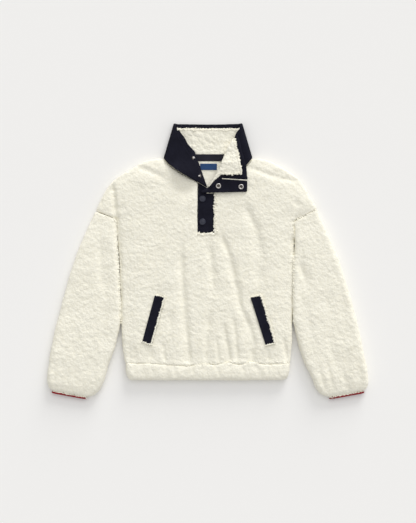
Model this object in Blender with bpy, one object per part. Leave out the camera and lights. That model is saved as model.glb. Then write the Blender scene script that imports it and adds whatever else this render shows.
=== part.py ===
"""Sherpa pullover laid flat on its back: cream pile cloth, navy stand collar turned out at one
front corner, half placket with snaps, slanted pocket welts, hem casing and red cuff bindings.

Millimetres until a mesh is made. X runs to the right and Y up to the collar as one looks down on
the garment, Z up from the surface it lies on. "Left" and "right" are the viewer's.
"""

import math

import bmesh
import bpy
import numpy as np
from mathutils import Vector
from mathutils.bvhtree import BVHTree

MM = 0.001

# Cloth
PILE = 10.0  # sherpa with its pile
WOVEN = 2.0  # navy cloth with its interlining
SEAM_GAP = 0.3
LAY_GAP = 0.4  # between layers that lie on each other
LIP = 2.5  # of cloth left at an edge that rounds away
EDGE_ROUND = 10.0
SEAM_DIP = 1.5
SEAM_REACH = 8.0

# Levels of the two body layers
BACK_TOP = PILE
FRONT_LOW = BACK_TOP + LAY_GAP
FRONT_RISE = 2.6  # how far the front stands off the back between its valleys

# Centre front slot that the placket fills
SLOT_LEFT, SLOT_RIGHT, SLOT_FOOT = -26.0, 16.0, 72.0
BACK_NECK = 257.0
HEM_FOOT = -297.0

LEFT, RIGHT = -1, 1

# Edges of the body, each point as (distance out from the centre line, height up the body)
SHOULDER = {
    LEFT: ((282.5, 127), (264, 163), (240, 200), (200, 227), (162, 249), (140, 256), (114, 259)),
    RIGHT: ((274, 133), (254, 165), (238, 195), (202, 225), (170, 244), (142, 256), (114, 259)),
}
SIDE = {
    LEFT: (
        (229, 107), (226, 54), (222, 4), (218.5, -96), (217.5, -146), (215, -200), (211, -238), (206, -254),
    ),
    RIGHT: ((213, 101), (215, 54), (212, 4), (212, -96), (211, -146), (210, -200), (208, -238), (205, -253)),
}
NECKLINE = {
    LEFT: ((114, 259), (94.5, 237.5), (67.5, 219.5), (45, 207.5), (-SLOT_LEFT, 198)),
    RIGHT: ((114, 259), (94.5, 237.5), (67.5, 219.5), (40, 204.5), (SLOT_RIGHT, 190)),
}
HEM_SEAM = (
    (-206, -254), (-150, -255), (-90, -258), (-50, -260.5), (-15, -256), (17, -258),
    (48, -251.5), (80, -258), (105, -249.5), (130, -255), (192, -254), (205, -253),
)

# Valleys pressed into the front, columns: x and y of both ends, half width, depth
FRONT_VALLEYS = (
    (-67, 29, -62, -96, 9, 3.0),
    (-62, -96, -53, -250, 9, 3.6),
    (-2, 42, 18, -58, 9, 2.6),
    (40, 54, 58, -21, 8, 2.8),
    (58, -21, 78, -108, 8, 3.4),
    (92, 142, 115, 84, 9, 2.6),
    (115, 84, 125, -58, 10, 3.2),
    (-107, -190, -105, -252, 6, 2.6),
    (2, -146, 0, -255, 7, 2.8),
    (40, -171, 52, -250, 6, 3.2),
    (65, -146, 70, -240, 5, 2.2),
    (96, -140, 110, -247, 7, 3.2),
    (192, -208, 201, -250, 6, 2.2),
    (-192, -208, -186, -252, 7, 2.4),
    (-235, 180, -229, 110, 5, 6.0),
    (213, 156, 224, 140, 8, 3.4),
    (-175, 234, -107, 209, 8, 1.6),
    (100, 234, 180, 209, 8, 2.2),
    (180, 209, 225, 202, 8, 1.8),
    (-120, -86, -153, -206, 15, 2.8),
    (119, -86, 157, -207, 15, 2.8),
)


# ---------------------------------------------------------------- curves and grids


def knots_of(points):
    """How far along a run of points, or of rows of points, each one is."""
    steps = np.linalg.norm(np.diff(points, axis=0), axis=-1)
    steps = steps.reshape(len(steps), -1).mean(axis=1)
    return np.concatenate([[0.0], np.cumsum(steps)])


def curve_at(points, places, knots=None):
    """Places, as distances, on the smooth curve through a run of points or of rows of points."""
    points = np.array(points, float)
    knots = knots_of(points) if knots is None else knots
    slopes = np.gradient(points, knots, axis=0)
    places = np.clip(places, 0, knots[-1])
    index = np.clip(np.searchsorted(knots, places, side="right") - 1, 0, len(knots) - 2)
    shape = (-1,) + (1,) * (points.ndim - 1)
    length = (knots[index + 1] - knots[index]).reshape(shape)
    t = (places - knots[index]).reshape(shape) / length
    return (
        points[index] * (1 + 2 * t) * (1 - t) ** 2
        + slopes[index] * length * t * (1 - t) ** 2
        + points[index + 1] * t**2 * (3 - 2 * t)
        - slopes[index + 1] * length * t**2 * (1 - t)
    )


def through(points, fractions):
    """Points at fractions of the smooth curve's length."""
    return curve_at(points, np.array(fractions) * knots_of(np.array(points, float))[-1])


def graded(length, steps, first=(), last=()):
    """Fractions of a length: the first and last distances given, and even steps between them."""
    start, end = ((first or (0,))[-1], (last or (0,))[-1])
    middle = np.linspace(start, length - end, steps + 1)
    ends = [length - d for d in reversed(last[:-1])]
    return np.concatenate([first[:-1], middle, ends]) / length


def length_of(points):
    return knots_of(np.array(points, float))[-1]


def side_of(table, side):
    """A table of (out, up) as points of that side."""
    return [(side * out, up) for out, up in table[side]]


def coons(top, bottom, first, last):
    """The grid of points inside four edges: first and last run from top to bottom."""
    u = (knots_of(top) / length_of(top) + knots_of(bottom) / length_of(bottom))[None, :, None] / 2
    v = (knots_of(first) / length_of(first) + knots_of(last) / length_of(last))[:, None, None] / 2
    corners = (
        (1 - u) * (1 - v) * top[0] + u * (1 - v) * top[-1]
        + (1 - u) * v * bottom[0] + u * v * bottom[-1]
    )
    return (
        (1 - v) * top[None] + v * bottom[None] + (1 - u) * first[:, None] + u * last[:, None] - corners
    )


def distance_to(points, line):
    """From each point to the nearest place on a line of straight stretches."""
    line = np.array(line, float)
    start, along = line[:-1], np.diff(line, axis=0)
    offset = points[..., None, :] - start
    t = np.clip((offset * along).sum(-1) / (along**2).sum(-1), 0, 1)
    return np.linalg.norm(offset - t[..., None] * along, axis=-1).min(axis=-1)


def rounded(distance, radius):
    """A quarter round: 0 at the edge, 1 from the radius on."""
    return np.sqrt(np.clip(1 - np.clip(1 - distance / radius, 0, 1) ** 2, 0, 1))


def seam_dip(distance):
    return SEAM_DIP * np.exp(-((distance / SEAM_REACH) ** 2))


def valleys(points, table):
    """How deep the valleys of a table press at each point."""
    depth = np.zeros(points.shape[:-1])
    for x0, y0, x1, y1, width, deep in table:
        distance = distance_to(points, ((x0, y0), (x1, y1)))
        depth = np.maximum(depth, deep * np.exp(-((distance / width) ** 2)))
    return depth


# ---------------------------------------------------------------- meshes

# Finishes as (red, green, blue, roughness, metallic)
CREAM_SHERPA = (0.86, 0.83, 0.73, 0.95, 0.0)
NAVY_CLOTH = (0.012, 0.013, 0.025, 0.6, 0.0)
NAVY_TAPE = (0.016, 0.016, 0.03, 0.6, 0.0)
RED_BINDING = (0.2, 0.006, 0.012, 0.7, 0.0)
BLUE_LABEL = (0.017, 0.05, 0.2, 0.5, 0.0)
NAVY_METAL = (0.012, 0.013, 0.03, 0.35, 0.4)
STEEL = (0.6, 0.6, 0.58, 0.3, 1.0)


def material(name, finish):
    red, green, blue, roughness, metallic = finish
    made = bpy.data.materials.new(name)
    made.use_nodes = True
    shader = made.node_tree.nodes["Principled BSDF"]
    shader.inputs["Base Color"].default_value = (red, green, blue, 1)
    shader.inputs["Roughness"].default_value = roughness
    shader.inputs["Metallic"].default_value = metallic
    return made


def new_object(name, shape, finish):
    """A mesh object from a bmesh in millimetres, its faces turned out."""
    bmesh.ops.recalc_face_normals(shape, faces=shape.faces)
    if shape.calc_volume(signed=True) < 0:
        bmesh.ops.reverse_faces(shape, faces=shape.faces)
    bmesh.ops.scale(shape, vec=(MM, MM, MM), verts=shape.verts)
    mesh = bpy.data.meshes.new(name)
    shape.to_mesh(mesh)
    shape.free()
    mesh.shade_smooth()
    mesh.set_sharp_from_angle(angle=math.radians(50))
    mesh.materials.append(material(name, finish))
    made = bpy.data.objects.new(name, mesh)
    bpy.context.collection.objects.link(made)
    return made


def slab(name, top, bottom, finish, split=False):
    """A closed sheet between two grids of points. Where a grid holds NaN the sheet has no cloth.

    A split sheet has triangles, so that one made on the other side of the same grid fits it."""
    shape = bmesh.new()
    rows, columns = top.shape[:2]
    whole = ~np.isnan(top).any(axis=-1)
    layers = []
    for grid in (top, bottom):
        points = {
            (i, j): shape.verts.new(grid[i, j])
            for i in range(rows)
            for j in range(columns)
            if whole[i, j]
        }
        layers.append(points)
    upper, lower = layers
    edges = {}
    for i in range(rows - 1):
        for j in range(columns - 1):
            corners = ((i, j), (i, j + 1), (i + 1, j + 1), (i + 1, j))
            if not all(whole[c] for c in corners):
                continue
            for part in (corners[1:], corners[3:] + corners[:2]) if split else (corners,):
                shape.faces.new([upper[c] for c in part])
                shape.faces.new([lower[c] for c in reversed(part)])
            for a, b in zip(corners, corners[1:] + corners[:1]):
                if (b, a) in edges:
                    del edges[b, a]
                else:
                    edges[a, b] = True
    for a, b in edges:
        shape.faces.new([upper[b], upper[a], lower[a], lower[b]])
    return new_object(name, shape, finish)


def tube(name, outer, inner, finish):
    """A closed wall between an outer and an inner run of rings, open at both ends."""
    shape = bmesh.new()
    walls = [[[shape.verts.new(p) for p in ring] for ring in rings] for rings in (outer, inner)]
    count = len(outer[0])
    for wall in walls:
        for near, far in zip(wall, wall[1:]):
            for k in range(count):
                after = (k + 1) % count
                shape.faces.new([near[k], near[after], far[after], far[k]])
    for end in (0, -1):
        for k in range(count):
            after = (k + 1) % count
            shape.faces.new([walls[0][end][k], walls[0][end][after], walls[1][end][after], walls[1][end][k]])
    return new_object(name, shape, finish)


# ---------------------------------------------------------------- body

EDGE_STEPS = (0.0, 3.0, 9.0, 17.0)  # how far in the first points from a rounded edge are
HALF_COLUMNS = 16
SEAM_ROWS, UPPER_ROWS, LOWER_ROWS = 2, 5, 11
UPPER_SIDE = 62.0  # length of the side beside the placket
NECK_ROWS = 5
SLOT_COLUMNS = 4


def outlines():
    """The edges that round away, and the seams that dip."""
    round_edges = [side_of(SHOULDER, s) for s in (LEFT, RIGHT)]
    round_edges += [side_of(SIDE, s) for s in (LEFT, RIGHT)]
    seams = [[side_of(SHOULDER, s)[0], side_of(SIDE, s)[0]] for s in (LEFT, RIGHT)]
    seams.append(HEM_SEAM)
    return round_edges, seams


def hem_seam_y(x):
    line = through(HEM_SEAM, np.linspace(0, 1, 80))
    return np.interp(x, line[:, 0], line[:, 1])


def under_seam_y(x):
    """The hem seam on the underside, straight between its ends."""
    (x0, y0), (x1, y1) = HEM_SEAM[0], HEM_SEAM[-1]
    return y0 + (y1 - y0) * (x - x0) / (x1 - x0)


def outer_edge(side):
    """Down the armhole seam and the side, with a row of the grid at each point."""
    armhole = np.array([side_of(SHOULDER, side)[0], side_of(SIDE, side)[0]], float)
    seam = through(armhole, graded(length_of(armhole), SEAM_ROWS, first=EDGE_STEPS))
    line = side_of(SIDE, side)
    length = length_of(line)
    places = np.concatenate([
        np.linspace(0, UPPER_SIDE, UPPER_ROWS + 1),
        np.linspace(UPPER_SIDE, length - SEAM_REACH, LOWER_ROWS)[1:],
        [length],
    ])
    return np.vstack([seam[:-1], through(line, places / length)])


def inner_edge(side, rows):
    """Down the neckline, the placket's slot and the line below it."""
    neck = side_of(NECKLINE, side)
    along_neck = through(neck, graded(length_of(neck), NECK_ROWS - 1, first=EDGE_STEPS[:2]))
    slot_rows = rows - len(along_neck) - LOWER_ROWS
    corner = along_neck[-1]
    slot = np.linspace(corner, (corner[0], SLOT_FOOT), slot_rows + 1)
    foot = (corner[0], hem_seam_y(corner[0]))
    reach = (corner[0], foot[1] + SEAM_REACH)
    below = np.vstack([np.linspace(slot[-1], reach, LOWER_ROWS)[1:], [foot]])
    return np.vstack([along_neck, slot[1:], below])


def front_plan():
    """The front's points from above, from the left side to the right one."""
    halves = []
    for side in (LEFT, RIGHT):
        first = outer_edge(side)
        last = inner_edge(side, len(first))
        shoulder = side_of(SHOULDER, side)
        top = through(shoulder, graded(length_of(shoulder), HALF_COLUMNS, first=EDGE_STEPS))
        width = abs(first[-1, 0] - last[-1, 0])
        x = first[-1, 0] + (last[-1, 0] - first[-1, 0]) * graded(width, HALF_COLUMNS, first=EDGE_STEPS)
        bottom = np.column_stack([x, hem_seam_y(x)])
        halves.append(coons(top, bottom, first, last))
    left, right = halves[0], halves[1][:, ::-1]
    share = np.linspace(0, 1, SLOT_COLUMNS + 1)[1:-1, None]
    middle = left[:, -1:, :] * (1 - share) + right[:, :1, :] * share
    middle[-1, :, 1] = hem_seam_y(middle[-1, :, 0])
    middle[: -LOWER_ROWS - 1] = np.nan
    return np.concatenate([left, middle, right], axis=1)


def front_heights(plan):
    """The front's lower and upper surface over points seen from above."""
    round_edges, seams = outlines()
    edge = np.min([distance_to(plan, line) for line in round_edges], axis=0)
    seam = np.min([distance_to(plan, line) for line in seams], axis=0)
    neck = np.min([distance_to(plan, side_of(NECKLINE, s)) for s in (LEFT, RIGHT)], axis=0)
    slot = [(SLOT_LEFT, 198), (SLOT_LEFT, SLOT_FOOT), (SLOT_RIGHT, SLOT_FOOT), (SLOT_RIGHT, 190)]
    cut = np.minimum(neck, distance_to(plan, slot))
    rise = FRONT_RISE * np.clip(np.minimum(edge - EDGE_ROUND, np.minimum(seam, neck)) / 30, 0, 1)
    pressed = valleys(plan, FRONT_VALLEYS)
    low = FRONT_LOW + np.clip(rise - pressed, 0, None)
    wall = LIP + (PILE - LIP) * rounded(edge, EDGE_ROUND) * (0.75 + 0.25 * rounded(cut, 4))
    wall = np.maximum(LIP, wall - np.clip(pressed - rise, 0, 0.55 * PILE) - seam_dip(seam))
    return low, low + wall


def make_front():
    plan = front_plan()
    inset = plan.copy()
    inset[-1, :, 1] += SEAM_GAP
    low, high = front_heights(inset)
    top = np.concatenate([inset, high[..., None]], axis=-1)
    bottom = np.concatenate([inset, low[..., None]], axis=-1)
    return slab("front", top, bottom, CREAM_SHERPA)


BACK_COLUMNS, BACK_ROWS = 16, 10
NECK_CORNER = 104.0  # half the width of the back neck


def make_back():
    """The back, flat on the ground, its edges turned up to meet the front."""
    first, last = outer_edge(LEFT), outer_edge(RIGHT)
    pick = np.unique(np.linspace(0, len(first) - 1, BACK_ROWS).round().astype(int))
    first, last = first[pick], last[pick]
    left, right = side_of(SHOULDER, LEFT), side_of(SHOULDER, RIGHT)
    neck_left, neck_right = (-NECK_CORNER, BACK_NECK), (NECK_CORNER, BACK_NECK)
    shoulders = [
        through(line, graded(length_of(line), BACK_COLUMNS // 2, first=EDGE_STEPS)) for line in (left, right)
    ]
    neck = np.linspace(neck_left, neck_right, BACK_COLUMNS // 2)
    top = np.vstack([shoulders[0], neck, shoulders[1][::-1]])
    width = last[-1, 0] - first[-1, 0]
    share = knots_of(top) / length_of(top)
    x = first[-1, 0] + width * share
    bottom = np.column_stack([x, under_seam_y(x)])
    plan = coons(top, bottom, first, last)
    plan[-1, :, 1] += SEAM_GAP
    round_edges, seams = outlines()
    edge = np.min([distance_to(plan, line) for line in round_edges], axis=0)
    seam = np.min([distance_to(plan, line) for line in seams], axis=0)
    low = (PILE - LIP) * (1 - rounded(edge, EDGE_ROUND))
    high = BACK_TOP - seam_dip(seam)
    low = np.minimum(low, high - LIP)
    top_grid = np.concatenate([plan, high[..., None]], axis=-1)
    bottom_grid = np.concatenate([plan, low[..., None]], axis=-1)
    return slab("back", top_grid, bottom_grid, CREAM_SHERPA)


# ---------------------------------------------------------------- flattened tubes

SLIT = 2.6  # height of the empty space inside a tube that lies flat
TOP_STEPS, UNDER_STEPS = 8, 3
ARC = (0.0, 0.1, 0.42, 1.0)  # of the round at each side of a flattened tube


def across(width, radius, steps):
    """Fractions across a flattened tube, closer together in the rounds at its sides."""
    round_steps = tuple(radius * a for a in ARC)
    return graded(width, steps, first=round_steps, last=round_steps)


def flat_ring(width, height, top_steps, under_steps, grade):
    """(fraction across, part of the half height) of the points round a flattened tube, top first."""
    radius = min(height, grade) / 2
    upper, lower = across(width, radius, top_steps), across(width, radius, under_steps)[1:-1][::-1]
    fraction = np.concatenate([upper, lower])
    side = np.concatenate([np.ones(len(upper)), -np.ones(len(lower))])
    inward = np.minimum(fraction, 1 - fraction) * width
    return fraction, side * rounded(inward, radius)


# ---------------------------------------------------------------- sleeves

# Sections down a sleeve, columns: outer end (out, up), inner end (out, up), height
SLEEVE = {
    LEFT: (
        (282.2, 126.2, 229.6, 106.2, 20.5),
        (305, 77, 228, 53, 23),
        (331, 14, 224, -14, 24.5),
        (352.5, -53, 220.5, -82, 25),
        (370, -121, 219.3, -148, 25),
        (385, -178, 231, -207, 25),
        (395, -233, 249, -258, 25),
        (402, -276, 260.5, -297, 24.5),
        (402.3, -301, 269, -319, 23),
        (399, -317, 284, -335, 19),
        (391.5, -323.5, 303.5, -339.5, 13.5),
    ),
    RIGHT: (
        (273.8, 131.7, 213.8, 100, 20.5),
        (298, 76, 217, 50, 23),
        (325, 14, 214, -13, 24.5),
        (347, -53, 213.6, -82, 25),
        (366, -121, 214, -148, 25),
        (380, -178, 226, -207, 25),
        (391, -233, 243, -258, 25),
        (400.5, -276, 261, -294, 24.5),
        (402.3, -301, 268, -314, 23),
        (399, -317, 283, -333, 19),
        (391.5, -323.5, 303.5, -339.5, 13.5),
    ),
}
SLEEVE_SPACING = 40.0
SLEEVE_ENDS = 4  # sections of the table at the cuff that need no more between them

# Valleys on the sleeves as on the front, the left sleeve's and then the right one's
SLEEVE_VALLEYS = {
    LEFT: (
        (-258, 40, -262, -90, 14, 2.2),
        (-330, -190, -338, -300, 8, 2.4),
        (-285, -215, -312, -330, 8, 2.6),
        (-362, -250, -366, -325, 7, 2.4),
        (-300, -60, -330, -140, 16, 1.6),
    ),
    RIGHT: (
        (226, 32, 246, -40, 10, 2.6),
        (300, -190, 330, -300, 8, 2.4),
        (345, -235, 352, -325, 8, 2.6),
        (376, -255, 378, -322, 7, 2.4),
        (290, -80, 318, -150, 16, 1.8),
        (228, 70, 262, 92, 9, 2.0),
    ),
}


def sleeve_sections(side):
    """Rows of the sleeve's table, with more between those far apart."""
    rows = np.array(SLEEVE[side], float)
    knots = knots_of(rows[:, :4])
    places = [0.0]
    for k, (start, end) in enumerate(zip(knots, knots[1:])):
        steps = 1 if k >= len(rows) - SLEEVE_ENDS else max(1, round((end - start) / SLEEVE_SPACING))
        places.extend(np.linspace(start, end, steps + 1)[1:])
    # The knots of the whole rows differ a little from those of their ends.
    places = np.interp(places, knots, knots_of(rows))
    return curve_at(rows, places)


def sleeve_rings(side):
    outer, inner = [], []
    sections = sleeve_sections(side)
    for k, (x0, y0, x1, y1, height) in enumerate(sections):
        ends = np.array([(side * x0, y0), (side * x1, y1)])
        width = np.linalg.norm(ends[1] - ends[0])
        fraction, part = flat_ring(width, height, TOP_STEPS, UNDER_STEPS, PILE * 2)
        plan = ends[0] + (ends[1] - ends[0]) * fraction[:, None]
        press = np.where(part > 0, valleys(plan, SLEEVE_VALLEYS[side]) * part, 0)
        z = height / 2 * (1 + part) - press
        outer.append(np.column_stack([plan, z]))
        wall = (height - SLIT) / 2 - 0.5
        gap_ends = ends + (ends[::-1] - ends) * (wall + 0.6) / width
        plan = gap_ends[0] + (gap_ends[1] - gap_ends[0]) * fraction[:, None]
        press = np.where(part > 0, 0.3 * press, 0)
        inner.append(np.column_stack([plan, height / 2 + SLIT / 2 * part - press]))
    return outer, inner


def make_sleeve(name, side):
    return tube(name, *sleeve_rings(side), CREAM_SHERPA)


# ---------------------------------------------------------------- hem casing

# Sections from the seam to the casing's foot, columns: part of the way down, how far the ends
# draw in, height of the upper side and of the under side
HEM_SECTIONS = (
    (0.0, 0.0, 20.0, 0.4),
    (0.14, 0.3, 22.3, 0.0),
    (0.45, 1.0, 22.8, 0.0),
    (0.75, 3.5, 22.0, 0.0),
    (0.92, 8.0, 19.5, 0.5),
    (1.0, 14.0, 15.0, 5.0),
)
HEM_TOP_STEPS, HEM_UNDER_STEPS = 30, 8
HEM_ENDS = (-207.0, 205.5)
# Puckers of the casing, columns as for the front
HEM_VALLEYS = (
    (-168, -258, -165, -278, 5, 1.8),
    (-107, -258, -103, -292, 5, 2.6),
    (-62, -262, -60, -280, 6, 1.8),
    (-5, -262, -4, -282, 6, 1.6),
    (52, -252, 58, -272, 6, 2.0),
    (118, -258, 133, -290, 5, 2.8),
    (160, -256, 163, -276, 6, 1.4),
)


def hem_ring(down, draw, high, low, inner):
    x0, x1 = HEM_ENDS[0] + draw, HEM_ENDS[1] - draw
    fraction, part = flat_ring(x1 - x0, high - low, HEM_TOP_STEPS, HEM_UNDER_STEPS, PILE * 2)
    if inner:
        x0, x1 = x0 + PILE, x1 - PILE
    x = x0 + (x1 - x0) * fraction
    seam = np.where(part > 0, hem_seam_y(x), under_seam_y(x)) - 2 * SEAM_GAP
    y = (1 - down) * seam + down * HEM_FOOT
    half = SLIT / 2 if inner else (high - low) / 2
    plan = np.column_stack([x, y])
    press = np.where(part > 0, valleys(plan, HEM_VALLEYS) * part, 0) * (0.3 if inner else 1)
    middle = max((high + low) / 2, FRONT_LOW) if inner else (high + low) / 2
    return np.column_stack([x, y, middle + half * part - press])


def make_hem_band():
    outer = [hem_ring(*row, inner=False) for row in HEM_SECTIONS]
    inner = [hem_ring(*row, inner=True) for row in HEM_SECTIONS]
    return tube("hem_band", outer, inner, CREAM_SHERPA)


# ---------------------------------------------------------------- cuff bindings

BINDING_LENGTH = 6.0
BINDING_HEIGHT = 12.0
BINDING_WALL = 3.5
# Sections from the sleeve's end: part of the length, swell
BINDING_SECTIONS = ((0.05, 0.0), (0.3, 0.6), (0.8, 0.4), (1.0, -0.8))


def make_cuff_binding(name, side):
    """A binding round the sleeve's end, pressed flat."""
    x0, y0, x1, y1, height = SLEEVE[side][-1]
    ends = np.array([(side * x0, y0), (side * x1, y1)])
    along = (ends[1] - ends[0]) / np.linalg.norm(ends[1] - ends[0])
    down = np.array([along[1], -along[0]])
    down *= -np.sign(down[1])
    outer, inner = [], []
    middle = height / 2
    for part_down, swell in BINDING_SECTIONS:
        for rings, inset, half in (
            (outer, -swell, BINDING_HEIGHT / 2 + swell),
            (inner, BINDING_WALL + 1.5, BINDING_HEIGHT / 2 - BINDING_WALL),
        ):
            pair = ends + down * BINDING_LENGTH * part_down + np.array([along, -along]) * inset
            width = np.linalg.norm(pair[1] - pair[0])
            fraction, part = flat_ring(width, BINDING_HEIGHT, 4, 4, BINDING_HEIGHT)
            plan = pair[0] + (pair[1] - pair[0]) * fraction[:, None]
            rings.append(np.column_stack([plan, middle + half * part]))
    return tube(name, outer, inner, RED_BINDING)


# ---------------------------------------------------------------- collar

# The collar is worked out on the face between its two layers: the navy layer lies outside that
# face, the sherpa inside it.
FACE_GAP = 0.15
SHELL_OUT = FACE_GAP + WOVEN
LINING_IN = 7.85
WRAP_IN = 3.0  # how deep the navy wrap over the top edge reaches
FACING_IN = 1.5  # the same at the front edges, where the collar has no sherpa
WRAP = 13.0  # width of the wrap
STEP = 0.4  # over which the navy layer steps from one thickness to another
LINING_SHORT = 2.0  # how far the lining ends below the wrap
LAYER_LOW, LAYER_HIGH = SHELL_OUT, 22.0 - SHELL_OUT
FOLD_RADIUS = (LAYER_HIGH - LAYER_LOW) / 2
FOLD_MIDDLE = (LAYER_HIGH + LAYER_LOW) / 2
ROLL_RADIUS = 3.2
ROLL_MIDDLE = LAYER_HIGH + ROLL_RADIUS
COLLAR_NECK = 257.8

# Side folds, columns: corner at the neck and at the top (out, up)
SIDE_FOLD = {LEFT: ((112.5, 256.4), (85.8, 347.6)), RIGHT: ((112.5, 257.1), (86.0, 348.1))}
# Turn of the cloth round a side fold, how far down its top edge is there and its height
FOLD_TURNS = ((180, 9.5, 90.0), (135, 4.0, 91.0), (90, 0.0, 91.5), (45, -0.8, 91.6), (0, -1.5, 91.8))

# Left front of the collar from its front edge, columns: neck x and y, top x and y, level
LEFT_STATIONS = (
    (-2.5, 185.5, -33.5, 275, 12.7),
    (-9.5, 190, -38.7, 281, 16.6),
    (-17.3, 194.5, -44, 287, 19.4),
    (-26.5, 199.6, -50.8, 295, LAYER_HIGH),
    (-52, 212.8, -57.8, 309.4, LAYER_HIGH),
    (-81.5, 230.8, -73.8, 330.5, LAYER_HIGH),
)
# Back of the collar, columns: neck x, top x and y
BACK_STATIONS = ((-60, -45, 345.4), (0, 0, 344.8), (60, 45, 345.4))
# Right front before the roll, columns as on the left
RIGHT_STATIONS = ((99, 244.2, 78.4, 332.6, LAYER_HIGH),)
# Right front, its top edge and corner rolled out, columns: neck x and y, start of the roll x and y,
# where the cloth past the roll runs to, x and y, and how far before that it ends
ROLL_STATIONS = (
    (93, 239.0, 77.6, 329.5, 83, 330, 13.5),
    (88, 235, 75, 320, 81, 320.5, 9.8),
    (84, 232.4, 72.4, 311, 79, 311.5, 4.5),
    (79.5, 229.5, 69, 301, 80, 300.6, 0),
    (70, 223.2, 63, 289.3, 83, 284.0, 0),
    (54, 214.4, 53.0, 267.8, 89, 260.6, 0),
    (37, 204.8, 39.5, 233.4, 95.8, 237.4, 0),
    (27, 199.0, 31.5, 216.5, 97.3, 218.0, 0),
    (18, 193.2, 20, 204.1, 98, 209.4, 0),
    (9, 184.0, 2, 181.2, 98, 192.0, 0),
    (-6, 172.2, -16, 172.2, 97.5, 174.4, 0),
)
ROLL_START = 5  # of these the ones with closer sections between them
ROLL_START_SPACING = 3.8
FACING_STATION = 7  # of the rolled ones, where the front facing starts
LEFT_FACING_STATION = 4
STATION_SPACING = 24.0
BEND = math.pi * ROLL_RADIUS
BEND_STEPS = np.linspace(0, 1, 5)
BEND_SPARE = 2.0  # cloth left between the bend's rows and the wrap where nothing bends
WRAP_STEPS = np.array([0.75, 0.5, 0.25, 0])


def rows_along(path, bend=math.inf, short=0.0):
    """Points up a section of the cloth: to its bend, round it, to the wrap and over the wrap."""
    path = np.array(path, float)
    knots = knots_of(path)
    height = knots[-1] - max(short, 0)
    foot = height - WRAP - STEP
    end = foot - LINING_SHORT
    start = min(bend, end - BEND - BEND_SPARE)
    turned_rows = start + BEND * BEND_STEPS
    middle = (turned_rows[-1] + end) / 2
    places = [0, start / 2, *turned_rows, middle, end, foot, foot + STEP, *(height - WRAP * WRAP_STEPS)]
    return np.column_stack([np.interp(places, knots, path[:, k]) for k in range(3)])


def fold_stations(side):
    """Stations round a side fold, from the front layer to the back one."""
    (nx, ny), (tx, ty) = SIDE_FOLD[side]
    foot, head = np.array([side * nx, ny]), np.array([side * tx, ty])
    up = (head - foot) / np.linalg.norm(head - foot)
    out = np.array([side * up[1], -side * up[0]])
    axis = head - out * (FOLD_RADIUS + SHELL_OUT)
    stations = []
    for turn, drop, height in FOLD_TURNS:
        angle = math.radians(turn)
        top = axis + out * FOLD_RADIUS * math.sin(angle) - up * drop
        level = FOLD_MIDDLE - FOLD_RADIUS * math.cos(angle)
        stations.append(rows_along([(*(top - up * height), level), (*top, level)]))
    return stations


def roll_stations():
    """Stations of the rolled corner, and which of them is the facing's first."""
    table = np.array(ROLL_STATIONS, float)
    knots = knots_of(table[:, 2:4])
    places = np.arange(0, knots[ROLL_START], ROLL_START_SPACING)
    places = np.concatenate([places, knots[ROLL_START:]])
    rows = curve_at(table, places, knots)
    tangents = np.gradient(rows[:, 2:4], places, axis=0)
    stations = []
    for (nx, ny, cx, cy, ex, ey, short), tangent in zip(rows, tangents):
        out = np.array([tangent[1], -tangent[0]]) / np.linalg.norm(tangent)
        neck, low = np.array([nx, ny, LAYER_HIGH]), np.array([cx, cy, LAYER_HIGH])
        arc = []
        for angle in np.linspace(0, math.pi, 9):
            plan = low[:2] + out * ROLL_RADIUS * math.sin(angle)
            arc.append(np.array([*plan, ROLL_MIDDLE - ROLL_RADIUS * math.cos(angle)]))
        edge = np.array([ex, ey, ROLL_MIDDLE + ROLL_RADIUS])
        stations.append(rows_along([neck, *arc, edge], np.linalg.norm(low - neck), short))
    return stations, np.searchsorted(places, knots[FACING_STATION] - 0.01)


def collar_controls():
    """All stations from the left front edge to the right one, and where the folds are."""
    left, right = (
        [rows_along([(nx, ny, z), (tx, ty, z)]) for nx, ny, tx, ty, z in table]
        for table in (LEFT_STATIONS, RIGHT_STATIONS)
    )
    back = [rows_along([(nx, COLLAR_NECK, LAYER_LOW), (tx, ty, LAYER_LOW)]) for nx, tx, ty in BACK_STATIONS]
    left_fold, right_fold = fold_stations(LEFT), fold_stations(RIGHT)[::-1]
    rolled, facing = roll_stations()
    stations = left + left_fold + back + right_fold + right + rolled
    first_fold = len(left)
    second_fold = first_fold + len(left_fold) + len(back)
    folds = [first_fold, second_fold]
    return np.array(stations), folds, len(stations) - len(rolled) + facing


def collar_places(controls, folds, facing):
    """Where along the collar its sections are, and the two places where facings start."""
    knots = knots_of(controls)
    places = [0.0]
    for k, (start, end) in enumerate(zip(knots, knots[1:])):
        in_fold = any(fold <= k < fold + len(FOLD_TURNS) - 1 for fold in folds)
        steps = 2 if in_fold else max(1, round((end - start) / STATION_SPACING))
        places.extend(np.linspace(start, end, steps + 1)[1:])
    starts = (knots[LEFT_FACING_STATION], knots[facing])
    return np.array(places), starts


def collar_face():
    """The face between the layers: its points, outward normals, places along and rows up it."""
    controls, folds, facing = collar_controls()
    places, (left_start, right_start) = collar_places(controls, folds, facing)
    steps = [left_start + STEP, left_start + 2 * STEP, right_start - 2 * STEP, right_start - STEP]
    places = np.unique(np.concatenate([places, steps]))
    grid = curve_at(controls, places)
    grid[..., 2] = np.maximum(grid[..., 2], LAYER_LOW)
    rows = knots_of(grid.transpose(1, 0, 2))
    normals = -np.cross(np.gradient(grid, places, axis=0), np.gradient(grid, rows, axis=1))
    normals /= np.linalg.norm(normals, axis=-1, keepdims=True)
    wrapped = np.arange(len(rows)) >= len(rows) - len(WRAP_STEPS) - 1
    faced = (places < left_start + STEP / 2) | (places > right_start - STEP / 2)
    return grid, normals, wrapped, faced


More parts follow.
